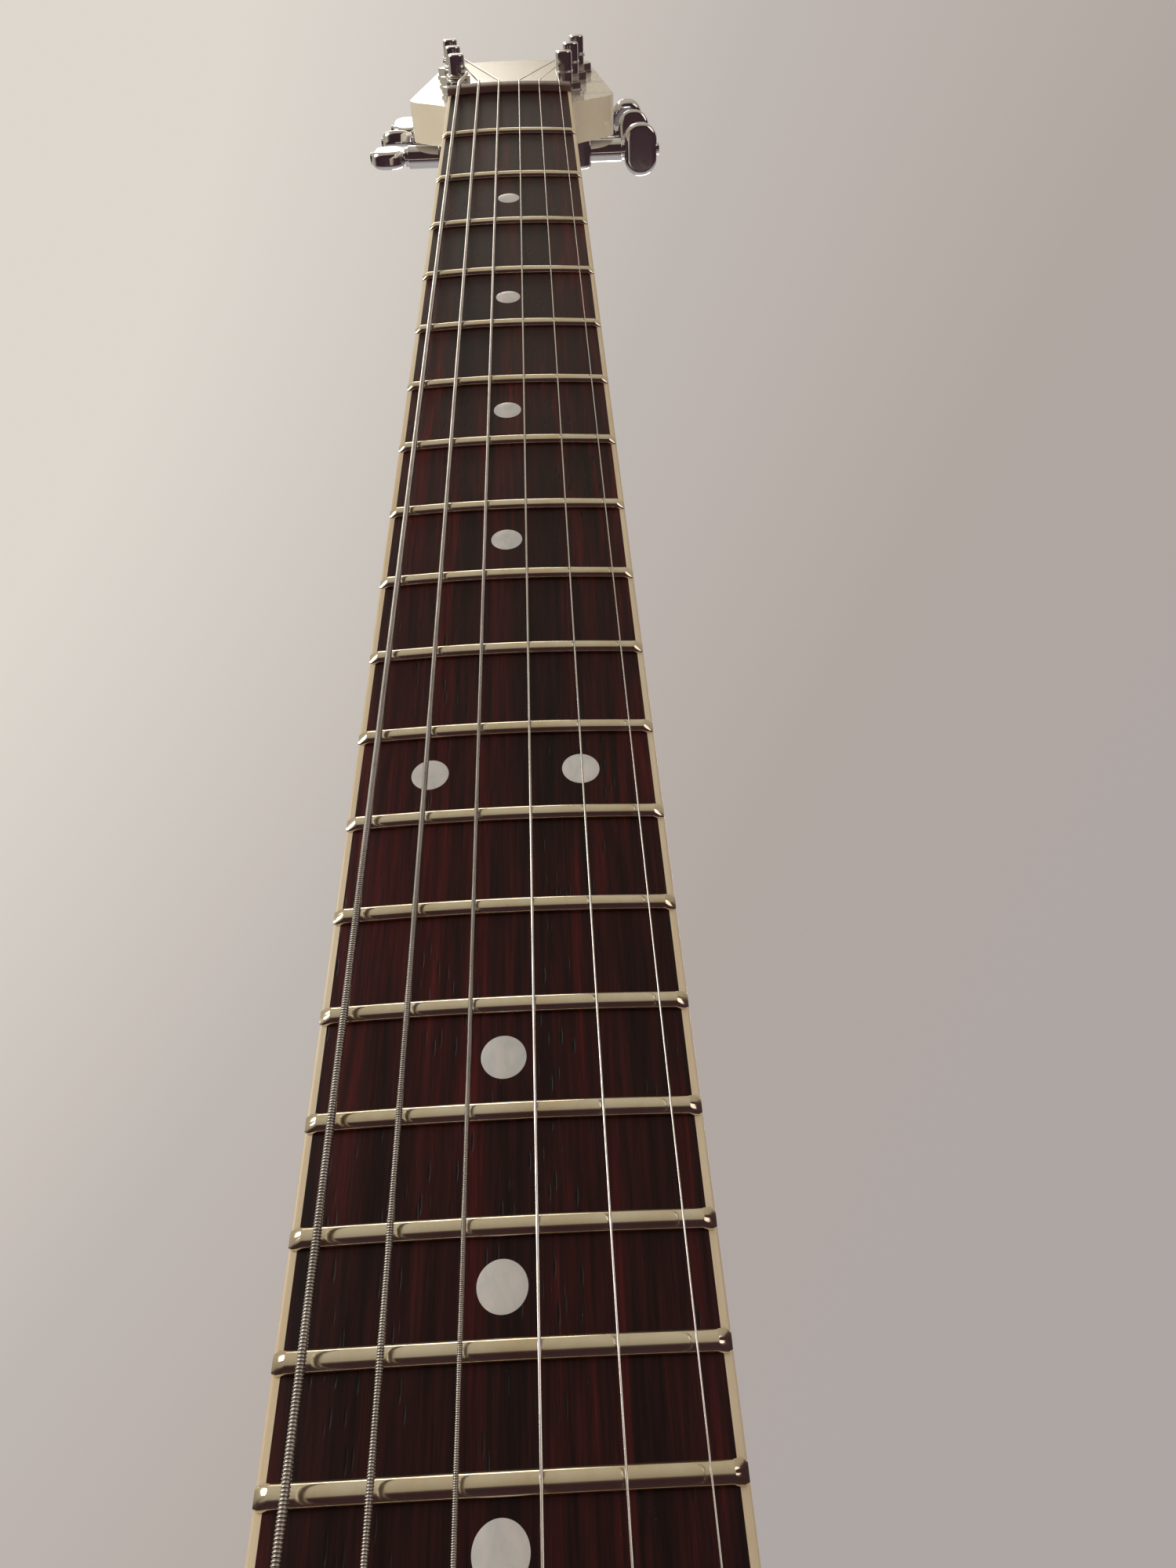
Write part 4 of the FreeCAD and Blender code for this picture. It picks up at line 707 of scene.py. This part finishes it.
def floor():
    """A plain pale floor that reflections leave out, so that metal shows the room instead."""
    mesh = bpy.data.meshes.new("floor")
    corners = ((-1, -1), (1, -1), (1, 1), (-1, 1))
    level = cad_box[0].z - FLOOR_GAP
    mesh.from_pydata([(x * FLOOR_SIZE, y * FLOOR_SIZE, level) for x, y in corners], [], [(0, 1, 2, 3)])
    finish = Shader("floor_paint", (0.72, 0.68, 0.63), 0.7)
    finish.bump(finish.noise(40, 3), 0.0005, 0.2)
    mesh.materials.append(finish.material)
    obj = bpy.data.objects.new("floor", mesh)
    bpy.context.scene.collection.objects.link(obj)
    obj.visible_glossy = False


def sky():
    """A room that is bright above and in front, dim below and softly lit behind, with a pale wall whose
    colour carries painted shade, darker towards WALL_AXIS.
    """
    world = bpy.data.worlds.new("studio")
    bpy.context.scene.world = world
    world.use_nodes = True
    nodes, links = world.node_tree.nodes, world.node_tree.links
    background = nodes["Background"]
    direction = nodes.new("ShaderNodeTexCoord").outputs["Generated"]

    def shade(axis, stops):
        dot = nodes.new("ShaderNodeVectorMath")
        dot.operation = "DOT_PRODUCT"
        dot.inputs[1].default_value = axis
        links.new(direction, dot.inputs[0])
        middle = nodes.new("ShaderNodeMath")
        middle.operation = "MULTIPLY_ADD"
        middle.inputs[1].default_value = 0.5
        middle.inputs[2].default_value = 0.5
        links.new(dot.outputs["Value"], middle.inputs[0])
        ramp = nodes.new("ShaderNodeValToRGB")
        elements = ramp.color_ramp.elements
        while len(elements) < len(stops):
            elements.new(0.5)
        for element, (position, colour) in zip(elements, stops):
            element.position, element.color = position, (*colour, 1)
        links.new(middle.outputs["Value"], ramp.inputs["Fac"])
        return ramp.outputs["Color"]

    def blend(kind, a, b):
        mix = nodes.new("ShaderNodeMix")
        mix.data_type, mix.blend_type = "RGBA", kind
        mix.inputs[0].default_value = 1.0
        links.new(a, mix.inputs[6])
        links.new(b, mix.inputs[7])
        return mix

    lit = blend("ADD", shade(SKY_AXIS, SKY_STOPS), shade(BEHIND_AXIS, BEHIND_STOPS)).outputs[2]
    # Camera rays see the wall's colour with its painted shade, not the lit room.
    seen = blend("MIX", lit, shade(WALL_AXIS, WALL_PAINTED_SHADE_STOPS))
    links.new(nodes.new("ShaderNodeLightPath").outputs["Is Camera Ray"], seen.inputs[0])
    links.new(seen.outputs[2], background.inputs["Color"])


def surroundings():
    sky()
    floor()
    for name, (place, target, size, power, colour) in LIGHTS.items():
        area_light(name, place, target, size, power, colour)


def camera():
    data = bpy.data.cameras.new("camera")
    data.lens = CAMERA_LENS
    data.sensor_width = 36.0
    data.clip_start = 0.01
    obj = bpy.data.objects.new("camera", data)
    bpy.context.scene.collection.objects.link(obj)
    right, up = Vector(CAMERA_RIGHT).normalized(), -Vector(CAMERA_DOWN).normalized()
    back = right.cross(up).normalized()
    turn = Matrix((right, up, back)).transposed().to_4x4()
    obj.matrix_world = Matrix.Translation(CAMERA_PLACE) @ turn
    bpy.context.scene.camera = obj


surroundings()
camera()
bpy.context.scene.view_settings.view_transform = "Standard"
